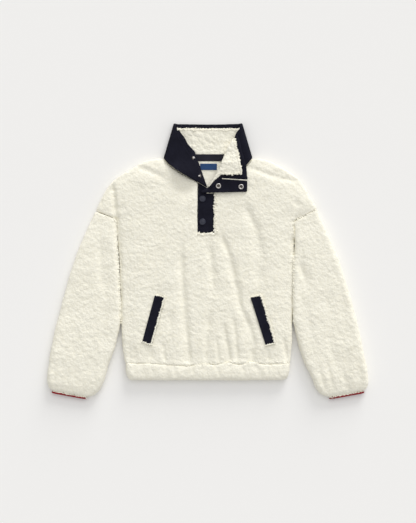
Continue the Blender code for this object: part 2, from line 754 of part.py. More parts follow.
def make_collar():
    grid, normals, wrapped, faced = collar_face()
    inward = np.full(grid.shape[:2], -FACE_GAP)
    inward[:, wrapped] = WRAP_IN
    inward[faced] = FACING_IN
    inner = grid - normals * inward[..., None]
    shell = slab("collar_shell", grid + normals * SHELL_OUT, inner, NAVY_CLOTH, True)
    lined = np.flatnonzero(~faced)[2:-2]
    height = np.flatnonzero(wrapped)[0] - 1
    face, out = grid[lined, :height], normals[lined, :height]
    slab("collar_lining", face - out * FACE_GAP, face - out * LINING_IN, CREAM_SHERPA, True)
    return shell


# ---------------------------------------------------------------- front placket

PLACKET_TOP, PLACKET_FOOT = 170.4, 73.0
PLACKET_EDGE = 0.6  # clear of the slot's sides
PLACKET_LOW, PLACKET_HIGH = 16.6, 20.0
UNDERLAP_LOW, UNDERLAP_HIGH = 12.9, 15.0
UNDERLAP_RIGHT = -3.0
UNDERLAP_FOOT = 80.0


def flat_slab(name, left, right, top, foot, low, high, finish, columns=5, rows=6, crown=0.0):
    """A flat strip, its top raised a little along its middle."""
    u, v = np.linspace(0, 1, columns), np.linspace(0, 1, rows)[:, None]
    top_y, foot_y = np.broadcast_to(top, columns), np.broadcast_to(foot, columns)
    x = np.broadcast_to(left + (right - left) * u, (rows, columns))
    y = top_y * (1 - v) + foot_y * v
    lift = crown * np.sin(np.pi * np.broadcast_to(u, (rows, columns)))
    upper = np.stack([x, y, high + lift], axis=-1)
    lower = np.stack([x, y, np.full_like(x, low)], axis=-1)
    return slab(name, upper, lower, finish)


def make_placket():
    """The overlapping strip, and under it the strip of the other edge that shows above it."""
    left, right = SLOT_LEFT + PLACKET_EDGE, SLOT_RIGHT - PLACKET_EDGE
    placket = flat_slab(
        "placket", left, right, PLACKET_TOP, PLACKET_FOOT, PLACKET_LOW, PLACKET_HIGH, NAVY_CLOTH, crown=0.8
    )
    left, right = SLOT_LEFT + 2 * PLACKET_EDGE, UNDERLAP_RIGHT
    x = np.linspace(left, right, 4)
    neck = [(row[0], row[1]) for row in LEFT_STATIONS[3::-1]]
    top = np.interp(x, [n[0] for n in neck], [n[1] for n in neck]) - 1.2
    levels = (UNDERLAP_LOW, UNDERLAP_HIGH)
    flat_slab("placket_underlap", left, right, top, UNDERLAP_FOOT, *levels, NAVY_CLOTH, columns=4)
    return placket


# ---------------------------------------------------------------- neck tape and label

TAPE_HALF, TAPE_FOOT, TAPE_TOP, TAPE_THICK = 97.0, 252.0, 269.5, 1.2
LABEL_LEFT, LABEL_RIGHT, LABEL_FOOT, LABEL_TOP, LABEL_THICK = -20.0, 22.5, 230.0, 246.0, 0.8


def make_neck_trim():
    low = BACK_TOP + LAY_GAP
    flat_slab("neck_tape", -TAPE_HALF, TAPE_HALF, TAPE_TOP, TAPE_FOOT, low, low + TAPE_THICK, NAVY_TAPE, 9, 3)
    high = low + LABEL_THICK
    flat_slab("label", LABEL_LEFT, LABEL_RIGHT, LABEL_TOP, LABEL_FOOT, low, high, BLUE_LABEL, 3, 3)


# ---------------------------------------------------------------- pocket welts

WELT_THICK = 2.2
WELT_COLUMNS, WELT_ROWS = 5, 13
WELT_REACH = 6.0  # how near to its points a welt clears the pile
# Corners of each welt: upper left, upper right, lower left, lower right
WELTS = {
    "pocket_welt_left": ((-133, -84), (-107, -88), (-165, -202), (-141, -209)),
    "pocket_welt_right": ((106, -89), (131.5, -83), (144.5, -210.5), (169.5, -202.5)),
}


def surface_tree(thing):
    mesh = thing.data
    return BVHTree.FromPolygons([v.co / MM for v in mesh.vertices], [p.vertices for p in mesh.polygons])


def level_on(tree, x, y, reach):
    """The highest a surface is near a point, as far as the reach to each side."""
    steps = (-reach, -reach / 2, 0, reach / 2, reach)
    starts = [Vector((x + dx, y + dy, 100)) for dx in steps for dy in steps]
    return max(tree.ray_cast(start, Vector((0, 0, -1)))[0].z for start in starts)


def make_welts(front):
    tree = surface_tree(front)
    for name, corners in WELTS.items():
        a, b, c, d = (np.array(corner, float) for corner in corners)
        v = np.linspace(0, 1, WELT_ROWS)[:, None, None]
        u = np.linspace(0, 1, WELT_COLUMNS)[None, :, None]
        plan = (a * (1 - u) + b * u) * (1 - v) + (c * (1 - u) + d * u) * v
        low = np.array([[level_on(tree, *point, WELT_REACH) for point in row] for row in plan]) + LAY_GAP
        lower = np.concatenate([plan, low[..., None]], axis=-1)
        upper = lower + np.array([0, 0, WELT_THICK])
        slab(name, upper, lower, NAVY_CLOTH)


# ---------------------------------------------------------------- snaps

SNAP_SIDES = 14
# Profiles as (part of the radius, height), from the middle of the top to the middle of the foot
CAP_PROFILE = ((0, 3.0), (0.45, 2.8), (0.8, 2.1), (1, 1.0), (1, 0), (0, 0))
SOCKET_PROFILE = ((0, 0.9), (0.36, 0.9), (0.42, 2.0), (0.72, 2.2), (0.92, 1.6), (1, 0.6), (1, 0), (0, 0))
STUD_PROFILE = ((0, 3.6), (0.3, 3.3), (0.4, 2.4), (0.36, 1.2), (0.7, 1.2), (0.94, 0.9), (1, 0), (0, 0))
CAP_RADIUS, SOCKET_RADIUS, STUD_RADIUS = 8.2, 6.8, 6.2
# Where each snap is
SNAP_CAPS = {"snap_cap_1": (-13.7, 157.5), "snap_cap_2": (-13.7, 99.8)}
SNAP_SOCKETS = {"snap_socket_1": (26, 189.0), "snap_socket_2": (82.5, 187.0)}
SNAP_STUDS = {"snap_stud_1": (-34.5, 259.5), "snap_stud_2": (-22.5, 214.0)}


def turned(name, profile, radius, at, axis, finish):
    """A turned piece standing on a point, along an axis."""
    shape = bmesh.new()
    rotation = Vector((0, 0, 1)).rotation_difference(Vector(axis)).to_matrix()
    turns = [2 * math.pi * k / SNAP_SIDES for k in range(SNAP_SIDES)]
    rings = []
    for share, height in profile:
        reach = share * radius
        ring = [Vector((reach * math.cos(t), reach * math.sin(t), height)) for t in turns]
        rings.append(ring if share else ring[:1])
    rings = [[shape.verts.new(rotation @ p + Vector(at)) for p in ring] for ring in rings]
    for near, far in zip(rings, rings[1:]):
        for k in range(SNAP_SIDES):
            after = (k + 1) % SNAP_SIDES
            corners = [near[k % len(near)], near[after % len(near)], far[after % len(far)], far[k % len(far)]]
            shape.faces.new(list(dict.fromkeys(corners)))
    return new_object(name, shape, finish)


def seat_on(tree, x, y):
    """A point just above the cloth, and the way the cloth faces there."""
    point, normal, _, _ = tree.ray_cast(Vector((x, y, 100)), Vector((0, 0, -1)))
    return point + normal * LAY_GAP, normal


def make_snaps(placket, shell):
    tree = surface_tree(placket)
    for name, (x, y) in SNAP_CAPS.items():
        turned(name, CAP_PROFILE, CAP_RADIUS, *seat_on(tree, x, y), NAVY_METAL)
    tree = surface_tree(shell)
    for places, profile, radius in (
        (SNAP_SOCKETS, SOCKET_PROFILE, SOCKET_RADIUS),
        (SNAP_STUDS, STUD_PROFILE, STUD_RADIUS),
    ):
        for name, (x, y) in places.items():
            turned(name, profile, radius, *seat_on(tree, x, y), STEEL)


def clear_scene():
    for thing in list(bpy.data.objects):
        bpy.data.objects.remove(thing)


def main():
    clear_scene()
    make_back()
    front = make_front()
    make_sleeve("sleeve_left", LEFT)
    make_sleeve("sleeve_right", RIGHT)
    make_hem_band()
    make_cuff_binding("cuff_binding_left", LEFT)
    make_cuff_binding("cuff_binding_right", RIGHT)
    shell = make_collar()
    placket = make_placket()
    make_neck_trim()
    make_welts(front)
    make_snaps(placket, shell)


main()
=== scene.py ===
import itertools
import math

import bmesh
import bpy
import numpy as np
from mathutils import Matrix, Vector
from mathutils.bvhtree import BVHTree


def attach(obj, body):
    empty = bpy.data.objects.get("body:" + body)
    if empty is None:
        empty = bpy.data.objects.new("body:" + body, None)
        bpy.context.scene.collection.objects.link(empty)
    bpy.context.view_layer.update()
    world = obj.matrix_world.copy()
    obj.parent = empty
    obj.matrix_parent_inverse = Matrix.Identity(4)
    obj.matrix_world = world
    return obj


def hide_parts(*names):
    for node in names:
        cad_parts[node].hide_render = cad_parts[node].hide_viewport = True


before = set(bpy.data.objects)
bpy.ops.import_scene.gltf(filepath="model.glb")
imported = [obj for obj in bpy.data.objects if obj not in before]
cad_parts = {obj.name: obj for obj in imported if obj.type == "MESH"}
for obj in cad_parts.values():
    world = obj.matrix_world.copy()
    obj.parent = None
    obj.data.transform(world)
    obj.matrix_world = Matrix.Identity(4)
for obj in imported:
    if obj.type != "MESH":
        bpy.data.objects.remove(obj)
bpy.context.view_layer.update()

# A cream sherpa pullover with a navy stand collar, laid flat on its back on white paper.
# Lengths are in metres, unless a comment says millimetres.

scene = bpy.context.scene

# ---------------------------------------------------------------- where it lies
# A sheet of matt white paper under two large panels of light: a broad one overhead and a low one
# beyond the collar, which draws the soft shadow below the hem. The camera looks straight down.

scene.view_settings.view_transform = "Standard"
scene.view_settings.look = "None"

PIXEL = 0.0025  # the length of the garment in each pixel of the frame
FRAME_HEIGHT = 523 * PIXEL
CLOTH_LEVEL = 0.02  # the level at which the garment has its true size in the frame
LENS, SENSOR = 0.085, 0.036
FRAME_MIDDLE = 0.0006  # how far beyond the garment's middle the camera stands, towards the collar
FARTHEST = 50  # that the camera sees

PAPER_SIZE, PAPER_DROP = 40.0, 0.0004
PAPER_WHITE, PAPER_ROUGHNESS, PAPER_SHINE = (0.925, 0.916, 0.899), 0.9, 0.1

# Name, elevation, azimuth and spread in degrees, and strength of each panel of light
PANELS = (("panel_overhead", 66, 20, 70, 0.8), ("panel_low", 16, 17, 28, 2.1))
ROOM_WHITE, ROOM_LIGHT = (1.0, 1.0, 1.0, 1), 0.52


def add_plain_floor(size, colour):
    """A plain square sheet just under the garment."""
    shape = bmesh.new()
    bmesh.ops.create_grid(shape, x_segments=8, y_segments=8, size=size / 2)
    bmesh.ops.translate(shape, verts=shape.verts, vec=(0, 0, -PAPER_DROP))
    mesh = bpy.data.meshes.new("paper")
    shape.to_mesh(mesh)
    shape.free()
    floor = bpy.data.objects.new("paper", mesh)
    scene.collection.objects.link(floor)
    made = bpy.data.materials.new("paper")
    made.use_nodes = True
    shader = made.node_tree.nodes["Principled BSDF"]
    shader.inputs["Base Color"].default_value = (*colour, 1)
    shader.inputs["Roughness"].default_value = PAPER_ROUGHNESS
    shader.inputs["Specular IOR Level"].default_value = PAPER_SHINE
    mesh.materials.append(made)


def add_soft_light(name, elevation, azimuth, spread, strength):
    """Even light from a large panel far off; the azimuth is turned from beyond the collar."""
    lamp = bpy.data.lights.new(name, "SUN")
    lamp.angle = math.radians(spread)
    lamp.energy = strength
    light = bpy.data.objects.new(name, lamp)
    up, turn = math.radians(elevation), math.radians(azimuth)
    towards = Vector((math.sin(turn) * math.cos(up), math.cos(turn) * math.cos(up), math.sin(up)))
    light.rotation_euler = towards.to_track_quat("Z", "Y").to_euler()
    scene.collection.objects.link(light)


add_plain_floor(PAPER_SIZE, PAPER_WHITE)
for panel in PANELS:
    add_soft_light(*panel)

world = bpy.data.worlds.new("room")
world.use_nodes = True
world.node_tree.nodes["Background"].inputs["Color"].default_value = ROOM_WHITE
world.node_tree.nodes["Background"].inputs["Strength"].default_value = ROOM_LIGHT
scene.world = world

lens = bpy.data.cameras.new("camera")
lens.lens, lens.sensor_width, lens.sensor_height = LENS * 1000, SENSOR * 1000, SENSOR * 1000
lens.clip_end = FARTHEST
camera = bpy.data.objects.new("camera", lens)
camera.location = (0, FRAME_MIDDLE, CLOTH_LEVEL + FRAME_HEIGHT * LENS / SENSOR)
scene.collection.objects.link(camera)
scene.camera = camera

# ---------------------------------------------------------------- sherpa body
# The back and front panels, sewn from cream polyester sherpa about 10 mm thick with its pile. The
# pile is small curled nubs, each with its own height, over a dense ground.

# The longest edge of a triangle, where the cloth shows and where it lies hidden below
FINE, COARSE = ((0.0034, 0.0075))


def new_piece(mesh, finish, slot, *nodes):
    """A piece named as its mesh, with its finish, in place of the nodes that it stands for."""
    mesh.materials.append(finish)
    piece = bpy.data.objects.new(mesh.name, mesh)
    scene.collection.objects.link(piece)
    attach(piece, "root")
    if nodes:
        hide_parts(*nodes)
    return piece


def halved(points, corners, limits_of, rounds=60):
    """The triangles cut in two across their longest edge until every edge is within its limit.

    An edge is cut when it is the longest of all its triangles. Where it isn't, the longer edge
    beside it is asked to be cut first, which spreads over some rounds."""
    while True:
        ends = np.stack([corners, np.roll(corners, -1, axis=1)], axis=2)
        lengths = np.linalg.norm(points[ends[..., 0]] - points[ends[..., 1]], axis=2)
        ends.sort(axis=2)
        keys = ends[..., 0] * len(points) + ends[..., 1]
        unique, edge = np.unique(keys, return_inverse=True)
        edge = edge.reshape(keys.shape)
        lengths = lengths.round(9) + 1e-12 * (edge % 997)  # so that no two edges are equal
        longest = lengths.argmax(axis=1)
        rows = np.arange(len(corners))
        chosen = edge[rows, longest]
        over = lengths[rows, longest] > limits_of(points, corners)
        wanted = np.bincount(chosen[over], minlength=len(unique)) > 0
        if not wanted.any():
            return points, corners
        shared_by = np.bincount(edge.ravel(), minlength=len(unique))
        agreed = np.bincount(chosen, minlength=len(unique)) == shared_by
        for _ in range(rounds):
            split = wanted & agreed
            stuck = wanted & ~agreed
            touched = stuck[edge].any(axis=1)
            waiting = np.zeros(len(unique), bool)
            waiting[chosen[touched]] = True
            grown = wanted | waiting
            if (grown == wanted).all():
                break
            wanted = grown
        number = np.full(len(unique), -1)
        number[split] = len(points) + np.arange(split.sum())
        middles = np.column_stack([unique[split] // len(points), unique[split] % len(points)])
        points = np.concatenate([points, points[middles].mean(axis=1)])
        cut = split[chosen]
        turned = np.stack([corners[rows, (longest + k) % 3] for k in range(3)], axis=1)
        middle = number[chosen]
        first = np.column_stack([turned[:, 0], middle, turned[:, 2]])[cut]
        second = np.column_stack([middle, turned[:, 1], turned[:, 2]])[cut]
        corners = np.concatenate([corners[~cut], first, second])


SAME_PLACE = 1e-6
FACES_DOWN = -0.5  # the upward part of a normal, below which a triangle counts as hidden


def corners_of(shape):
    """The points of a shape and the corners of its triangles; the shape is given up."""
    points = np.array([vertex.co for vertex in shape.verts])
    corners = np.array([[vertex.index for vertex in face.verts] for face in shape.faces])
    shape.free()
    return points, corners


def fine_mesh(name, node_name, longest, hidden=None):
    """A copy of a solid's mesh in small triangles, larger ones where it faces down."""
    shape = bmesh.new()
    shape.from_mesh(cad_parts[node_name].data)
    bmesh.ops.remove_doubles(shape, verts=shape.verts, dist=SAME_PLACE)
    bmesh.ops.triangulate(shape, faces=shape.faces)
    points, corners = corners_of(shape)

    def limits_of(points, corners):
        if hidden is None:
            return longest
        first, second, third = (points[corners[:, k]] for k in range(3))
        normals = np.cross(second - first, third - first)
        facing = normals[:, 2] / np.maximum(np.linalg.norm(normals, axis=1), 1e-15)
        return np.where(facing > FACES_DOWN, longest, hidden)

    points, corners = halved(points, corners, limits_of)
    mesh = bpy.data.meshes.new(name)
    mesh.from_pydata(points.tolist(), [], corners.tolist())
    mesh.shade_smooth()
    return mesh


def points_of(mesh):
    points = np.empty(len(mesh.vertices) * 3)
    mesh.vertices.foreach_get("co", points)
    return points.reshape(-1, 3)


def normals_of(mesh):
    normals = np.empty(len(mesh.vertices) * 3)
    mesh.vertex_normals.foreach_get("vector", normals)
    return normals.reshape(-1, 3)


def put_points(mesh, points):
    mesh.vertices.foreach_set("co", points.ravel())
    mesh.update()


def relaxed(mesh, points, times, share=0.6):
    """The points, each drawn towards the middle of its neighbours a few times over."""
    ends = np.empty(len(mesh.edges) * 2, np.int64)
    mesh.edges.foreach_get("vertices", ends)
    first, second = ends.reshape(-1, 2).T
    count = len(points)
    number = np.bincount(first, minlength=count) + np.bincount(second, minlength=count)
    for _ in range(times):
        total = np.column_stack([
            np.bincount(first, points[second, k], count) + np.bincount(second, points[first, k], count)
            for k in range(3)
        ])
        points = points + share * (total / number[:, None] - points)
    return points


# Large uneven factors, which give each cell of a lattice numbers with no pattern
CELL_FACTORS, SEED_FACTOR = np.array([127.1, 311.7, 74.7]), 19.19
TURN_FACTORS, LARGE_FACTOR = (1.0, 1.31, 1.73), 43758.5453


def scattered(cells, seed):
    """Three numbers from 0 to 1 for each cell of a lattice."""
    mixed = cells @ CELL_FACTORS + seed * SEED_FACTOR
    numbers = [np.modf(np.abs(np.sin(mixed * factor) * LARGE_FACTOR))[0] for factor in TURN_FACTORS]
    return np.stack(numbers, axis=-1)


def nubs(points, size, seed):
    """How high the pile stands: a dome round the nearest scattered centre, and the dome's number."""
    cells = np.floor(points / size)
    nearest = np.full(len(points), np.inf)
    number = np.zeros(len(points))
    for step in itertools.product((-1, 0, 1), repeat=3):
        near = cells + step
        jitter = scattered(near, seed)
        distance = np.linalg.norm(points / size - near - jitter, axis=1)
        closer = distance < nearest
        nearest = np.where(closer, distance, nearest)
        number = np.where(closer, jitter[:, 0], number)
    return np.clip(1 - nearest**2, 0, 1), number


# The way that each of three crossing waves runs, and how its start moves with the seed
WAVE_WAYS = np.array([[0.8, 0.6, 0.1], [-0.55, 0.83, 0.2], [0.3, -0.9, 0.4]])
WAVE_STARTS = np.array([1.7, 2.9, 4.1])
WAVE_RATE, WAVE_LAG = 0.7, 1.3  # of each wave's neighbour, which makes it uneven


def rolling(points, size, seed):
    """Slow even swells from -1 to 1."""
    waves = points @ (WAVE_WAYS / size).T * 2 * math.pi + seed * WAVE_STARTS
    return (np.sin(waves) * np.sin(WAVE_RATE * np.roll(waves, 1, axis=1) + WAVE_LAG)).sum(axis=1) / 3


def line_distance(points, row):
    """How far the points lie from a straight line seen from above, and how far along it, 0 to 1."""
    start, end = np.array(row[:2]) / 1000, np.array(row[2:4]) / 1000
    offset, along = points[:, :2] - start, end - start
    part = np.clip(offset @ along / (along @ along), 0, 1)
    return np.linalg.norm(offset - part[:, None] * along, axis=1), part


def rounded_line(points, row):
    """From a row with a half width and a height after its ends, in mm: a smooth ridge's height and
    the part of the way along it."""
    distance, part = line_distance(points, row)
    return row[5] / 1000 * np.exp(-((distance / (row[4] / 1000)) ** 2)), part


CREASE_GAIN = 1.25  # a crease is pressed deeper than its row says, since the pile fills it
CREASE_START, CREASE_FADE = 0.08, 0.6  # where on its curve a crease starts, and how late it fades


def pressed(points, creases):
    """How deep creases press, from rows of x and y of both ends, half width and depth in mm.

    Each one starts at once and runs out slowly."""
    depth = np.zeros(len(points))
    for row in creases:
        ridge, part = rounded_line(points, row)
        fade = np.sin(math.pi * np.clip(CREASE_START + (1 - CREASE_START) * part, 0, 1)) ** CREASE_FADE
        depth += CREASE_GAIN * ridge * fade
    return depth


SWELL, SWELL_LENGTH = 0.0011, 0.085
PILE_SIZE, PILE_HEIGHT = 0.009, 0.001
FLAT_BELOW, FLAT_REACH = 0.0004, 0.003  # the pile is pressed flat where it lies on the paper
LOWEST = 0.0001
TURN_SHARE, TURN_GAIN = 0.6, 2.0  # how the pile thins out round the turned edges of a tube

# Seams where the pile of both sides meets: x and y of both ends, half width and swell, mm
FULL_SEAMS = (
    (212, 106, 212, 62, 6, 2.2),
    (213, 12, 214, -110, 6, 2.2),
    (214, -110, 216, -150, 5, 1.0),
    (-204, -252, -50, -256, 6, 1.5),
    (-50, -257, 60, -252, 6, 1.5),
    (60, -252, 204, -253, 6, 1.5),
)
CALM_LEVEL = 0.018  # only the cloth above this level is evened out further
CALM_ROUNDS, CALM_EDGE = 70, 1.6


def pile_cloth(
    name,
    node_name,
    middle,
    creases=(),
    seed=1.0,
    longest=FINE,
    hidden=COARSE,
    relax=6,
    tall=PILE_HEIGHT,
    calm=(),
):
    """A piece of sherpa on its solid's form: creased, swollen and covered with pile.

    The middle is the level of the space inside a tube, None for a panel of a single layer. Rows of
    x, y and radius in mm tell where the cloth lies calmer than its solid."""
    mesh = fine_mesh(name, node_name, longest, hidden)
    points = relaxed(mesh, points_of(mesh), relax)
    for x, y, radius in np.array(calm) / 1000:
        away = np.hypot(points[:, 0] - x, points[:, 1] - y) / radius
        share = np.clip(CALM_EDGE * (1 - away), 0, 1) * (points[:, 2] > CALM_LEVEL)
        points[:, 2] += share * (relaxed(mesh, points, CALM_ROUNDS)[:, 2] - points[:, 2])
    put_points(mesh, points)
    normals = normals_of(mesh)
    upper = np.clip(normals[:, 2], 0, 1)
    outer = np.ones(len(points))
    if middle is not None:  # the sides that face the inside of a tube stay plain
        upper *= points[:, 2] > middle
        outer = np.clip(TURN_SHARE + TURN_GAIN * np.sign(points[:, 2] - middle) * normals[:, 2], 0, 1)
    points[:, 2] -= pressed(points, creases) * upper
    points += normals * (SWELL * rolling(points, SWELL_LENGTH, seed) * outer)[:, None]
    for row in FULL_SEAMS:
        ridge, _ = rounded_line(points, row)
        points += normals * (ridge * outer)[:, None]
    dome, number = nubs(points, PILE_SIZE, seed)
    height = tall * (dome * (0.5 + number) - 0.5)
    off_floor = np.clip((points[:, 2] - FLAT_BELOW) / FLAT_REACH, 0, 1)
    points += normals * (height * outer * off_floor)[:, None]
    points[:, 2] = np.maximum(points[:, 2], LOWEST)
    put_points(mesh, points)
    return mesh


def group_of(name, inputs, outputs):
    """A new shader node group with its sockets, and its two end nodes."""
    group = bpy.data.node_groups.new(name, "ShaderNodeTree")
    for title, kind, value in inputs:
        socket = group.interface.new_socket(title, in_out="INPUT", socket_type=kind)
        socket.default_value = value
    for title, kind in outputs:
        group.interface.new_socket(title, in_out="OUTPUT", socket_type=kind)
    return group, group.nodes.new("NodeGroupInput"), group.nodes.new("NodeGroupOutput")


def node(tree, kind, settings=(), **links):
    """A node with its settings, its inputs set to values or linked from other nodes' sockets."""
    made = tree.nodes.new(kind)
    for title, value in dict(settings).items():
        setattr(made, title, value)
    for title, value in links.items():
        place = int(title[1:]) if title[1:].isdigit() else title.replace("_", " ")
        if isinstance(value, bpy.types.NodeSocket):
            tree.links.new(value, made.inputs[place])
        else:
            made.inputs[place].default_value = value
    return made


def mapped(tree, value, source, target=(0.0, 1.0)):
    """A value brought from its own range to another one."""
    ends = {"From_Min": source[0], "From_Max": source[1], "To_Min": target[0], "To_Max": target[1]}
    return node(tree, "ShaderNodeMapRange", Value=value, **ends)


# Curled pile: pale tips, painted shade in the hollows between the curls, darker and yellower, and fine curls
# for the bump.
curls, given, out = group_of(
    "curled_pile",
    (
        ("Tip", "NodeSocketColor", (0.8, 0.77, 0.68, 1)),
        ("Hollow_shade", "NodeSocketColor", (0.6, 0.55, 0.42, 1)),
        ("Size", "NodeSocketFloat", 215.0),
    ),
    (("Color", "NodeSocketColor"), ("Height", "NodeSocketFloat")),
)
place = node(curls, "ShaderNodeTexCoord").outputs["Object"]
bent = node(curls, "ShaderNodeTexNoise", Vector=place, Scale=160.0, Detail=2.0)
twisted = node(curls, "ShaderNodeMixRGB", {"blend_type": "LINEAR_LIGHT"}, Fac=0.004, Color1=place)
curls.links.new(bent.outputs["Color"], twisted.inputs["Color2"])
clump = node(
    curls, "ShaderNodeTexVoronoi", {"feature": "SMOOTH_F1"}, Vector=twisted.outputs["Color"], Smoothness=0.35
)
curls.links.new(given.outputs["Size"], clump.inputs["Scale"])
fuzz = node(curls, "ShaderNodeTexNoise", Vector=place, Scale=900.0, Detail=2.0)
patch = node(curls, "ShaderNodeTexNoise", Vector=place, Scale=16.0, Detail=4.0)
deep = mapped(curls, clump.outputs["Distance"], (0.1, 0.75))
tone = mapped(curls, patch.outputs["Fac"], (0.3, 0.7), (-0.06, 0.1))
mottle = mapped(curls, fuzz.outputs["Fac"], (0.25, 0.75), (-0.14, 0.14))
# How much of the hollows' painted shade goes into the colour, and how much fuzz into the height
HOLLOW_SHADE_SHARE, FUZZ_SHARE = 0.62, 0.25  # of the hollows in the colour, of the fuzz in the height
adding = {"operation": "MULTIPLY_ADD"}
# Painted shade: the colour darkens towards the hollows, where the height is lowest; tone and mottle vary at
# random
shade = node(curls, "ShaderNodeMath", adding, _0=deep.outputs["Result"], _1=HOLLOW_SHADE_SHARE)
curls.links.new(tone.outputs["Result"], shade.inputs[2])
shaded = node(curls, "ShaderNodeMath", {"use_clamp": True}, _0=shade.outputs[0], _1=mottle.outputs["Result"])
colour = node(curls, "ShaderNodeMixRGB", Fac=shaded.outputs[0])
curls.links.new(given.outputs["Tip"], colour.inputs["Color1"])
curls.links.new(given.outputs["Hollow_shade"], colour.inputs["Color2"])
curls.links.new(colour.outputs["Color"], out.inputs["Color"])
raised = node(curls, "ShaderNodeMath", adding, _0=fuzz.outputs["Fac"], _1=FUZZ_SHARE)
low = node(curls, "ShaderNodeMath", {"operation": "SUBTRACT"}, _0=1.0, _1=deep.outputs["Result"])
curls.links.new(low.outputs[0], raised.inputs[2])
curls.links.new(raised.outputs[0], out.inputs["Height"])


SHEEN_ROUGHNESS = 0.6


def finish_of(name, group, values, roughness, bump=0.0, depth=0.001, sheen=0.0, specular=0.25):
    """A material whose colour and bump come from a node group."""
    made = bpy.data.materials.new(name)
    made.use_nodes = True
    tree = made.node_tree
    shader = tree.nodes["Principled BSDF"]
    shader.inputs["Roughness"].default_value = roughness
    shader.inputs["Sheen Weight"].default_value = sheen
    shader.inputs["Sheen Roughness"].default_value = SHEEN_ROUGHNESS
    shader.inputs["Specular IOR Level"].default_value = specular
    source = tree.nodes.new("ShaderNodeGroup")
    source.node_tree = group
    for title, value in values.items():
        source.inputs[title].default_value = value
    tree.links.new(source.outputs["Color"], shader.inputs["Base Color"])
    if bump:
        relief = node(tree, "ShaderNodeBump", Strength=bump, Distance=depth, Height=source.outputs["Height"])
        tree.links.new(relief.outputs["Normal"], shader.inputs["Normal"])
    return made


# The tip is the pile's cream; the hollow colour is painted shade between the curls
CREAM_TIP, CREAM_HOLLOW_SHADE = (0.94, 0.912, 0.80, 1), (0.85, 0.81, 0.665, 1)
cream_pile = finish_of(
    "cream_pile",
    curls,
    {"Tip": CREAM_TIP, "Hollow_shade": CREAM_HOLLOW_SHADE},
    roughness=0.95,
    bump=0.5,
    depth=0.001,
    sheen=0.2,
)

BACK_FINE = 1.6 * FINE
back_mesh = pile_cloth("back_panel", "back", None, seed=2.0, longest=BACK_FINE, hidden=BACK_FINE)
back = new_piece(back_mesh, cream_pile, "cream_sherpa", "back")

# Creases of the front: x and y of both ends, half width and depth, mm
FRONT_CREASES = (
    (-237, 188, -230, 90, 6, 5.0),
    (-226, 112, -219, -20, 6.5, 2.6),
    (-218, 20, -216, -150, 4.5, 1.6),
    (-63, 40, -70, -10, 7, 1.6),
    (-70, 10, -60, -110, 9, 2.8),
    (-60, -90, -50, -200, 8, 2.6),
    (-54, -170, -46, -256, 6, 3.0),
    (6, 50, 12, -40, 8, 2.0),
    (12, -20, 10, -90, 9, 2.4),
    (10, -80, 0, -170, 8, 2.2),
    (-2, -140, -6, -250, 6, 2.4),
    (34, 62, 58, 5, 7, 2.6),
    (55, 12, 75, -75, 8, 3.0),
    (74, -60, 80, -130, 8, 2.8),
    (80, -110, 104, -165, 7, 2.2),
    (104, -155, 118, -215, 7, 2.4),
    (116, -200, 108, -256, 6, 2.2),
    (100, 128, 126, 70, 9, 2.4),
    (124, 80, 138, -5, 10, 3.0),
    (136, 5, 130, -60, 9, 1.8),
    (40, -155, 50, -215, 5, 2.0),
    (48, -205, 56, -256, 5, 2.6),
    (66, -150, 70, -205, 5, 1.8),
    (70, -200, 76, -254, 5, 2.2),
    (22, -190, 26, -254, 5, 1.8),
    (-92, -130, -98, -190, 7, 1.8),
    (-112, -205, -106, -256, 5, 2.4),
    (-140, -218, -148, -255, 6, 1.8),
    (-196, -215, -200, -256, 6, 2.0),
    (190, -190, 196, -254, 5, 2.4),
    (150, -222, 152, -256, 5, 1.8),
    (214, 62, 213, 14, 5, 3.2),
    (216, 20, 226, -40, 9, 2.2),
    (-170, 235, -108, 212, 7, 2.0),
    (100, 236, 190, 205, 6, 2.4),
    (188, 208, 224, 200, 6, 1.6),
    (216, 156, 226, 136, 7, 2.2),
    (-94, 197, -34, 172, 26, 4.5),
    (-80, 190, -42, 172, 16, 2.0),
    (10, 176, 60, 172, 10, 3.0),
)
FRONT_CALM = ((-236, 165, 48),)  # the left shoulder: x, y and radius, mm
front_mesh = pile_cloth("front_panel", "front", None, FRONT_CREASES, seed=3.0, calm=FRONT_CALM)
front = new_piece(front_mesh, cream_pile, "cream_sherpa", "front")

# ---------------------------------------------------------------- sleeves
# Two full sleeves of the same sherpa, sewn to the dropped armholes, lying flat with their seams
# inward. They crumple a little towards the narrow cuffs.

SLEEVE_CREASES = {
    "left": (
        (-230, 108, -222, -20, 6, 2.4),
        (-270, 60, -268, -60, 9, 2.2),
        (-340, -60, -352, -170, 10, 1.0),
        (-255, -120, -268, -220, 9, 1.2),
        (-300, -240, -322, -325, 6, 1.8),
        (-345, -255, -356, -322, 6, 1.6),
        (-278, -262, -298, -332, 5, 1.6),
        (-385, -255, -384, -315, 6, 1.3),
        (-240, -10, -262, -70, 8, 1.2),
    ),
    "right": (
        (226, 0, 242, -40, 8, 2.2),
        (238, -30, 228, -120, 10, 2.4),
        (330, -60, 345, -170, 10, 1.0),
        (248, -120, 262, -220, 9, 1.2),
        (296, -250, 316, -328, 6, 1.8),
        (336, -265, 345, -322, 6, 1.5),
        (276, -262, 296, -330, 5, 1.4),
        (384, -250, 384, -312, 6, 1.2),
        (232, -10, 254, -80, 8, 1.4),
    ),
}
SLEEVE_MIDDLE = 0.0122  # the level of the space inside
sleeves = []
for side, seed in (("left", 4.0), ("right", 5.0)):
    name, solid = f"sleeve_cloth_{side}", f"sleeve_{side}"
    sleeve_mesh = pile_cloth(name, solid, SLEEVE_MIDDLE, SLEEVE_CREASES[side], seed)
    sleeve = new_piece(sleeve_mesh, cream_pile, "cream_sherpa", solid)
    sleeves.append(sleeve)

# ---------------------------------------------------------------- hem casing
# A double band of sherpa round the hem with elastic inside, so that the body gathers above it. The
# pile of both sides stands over the seam, as it does at the shoulders and the armholes.

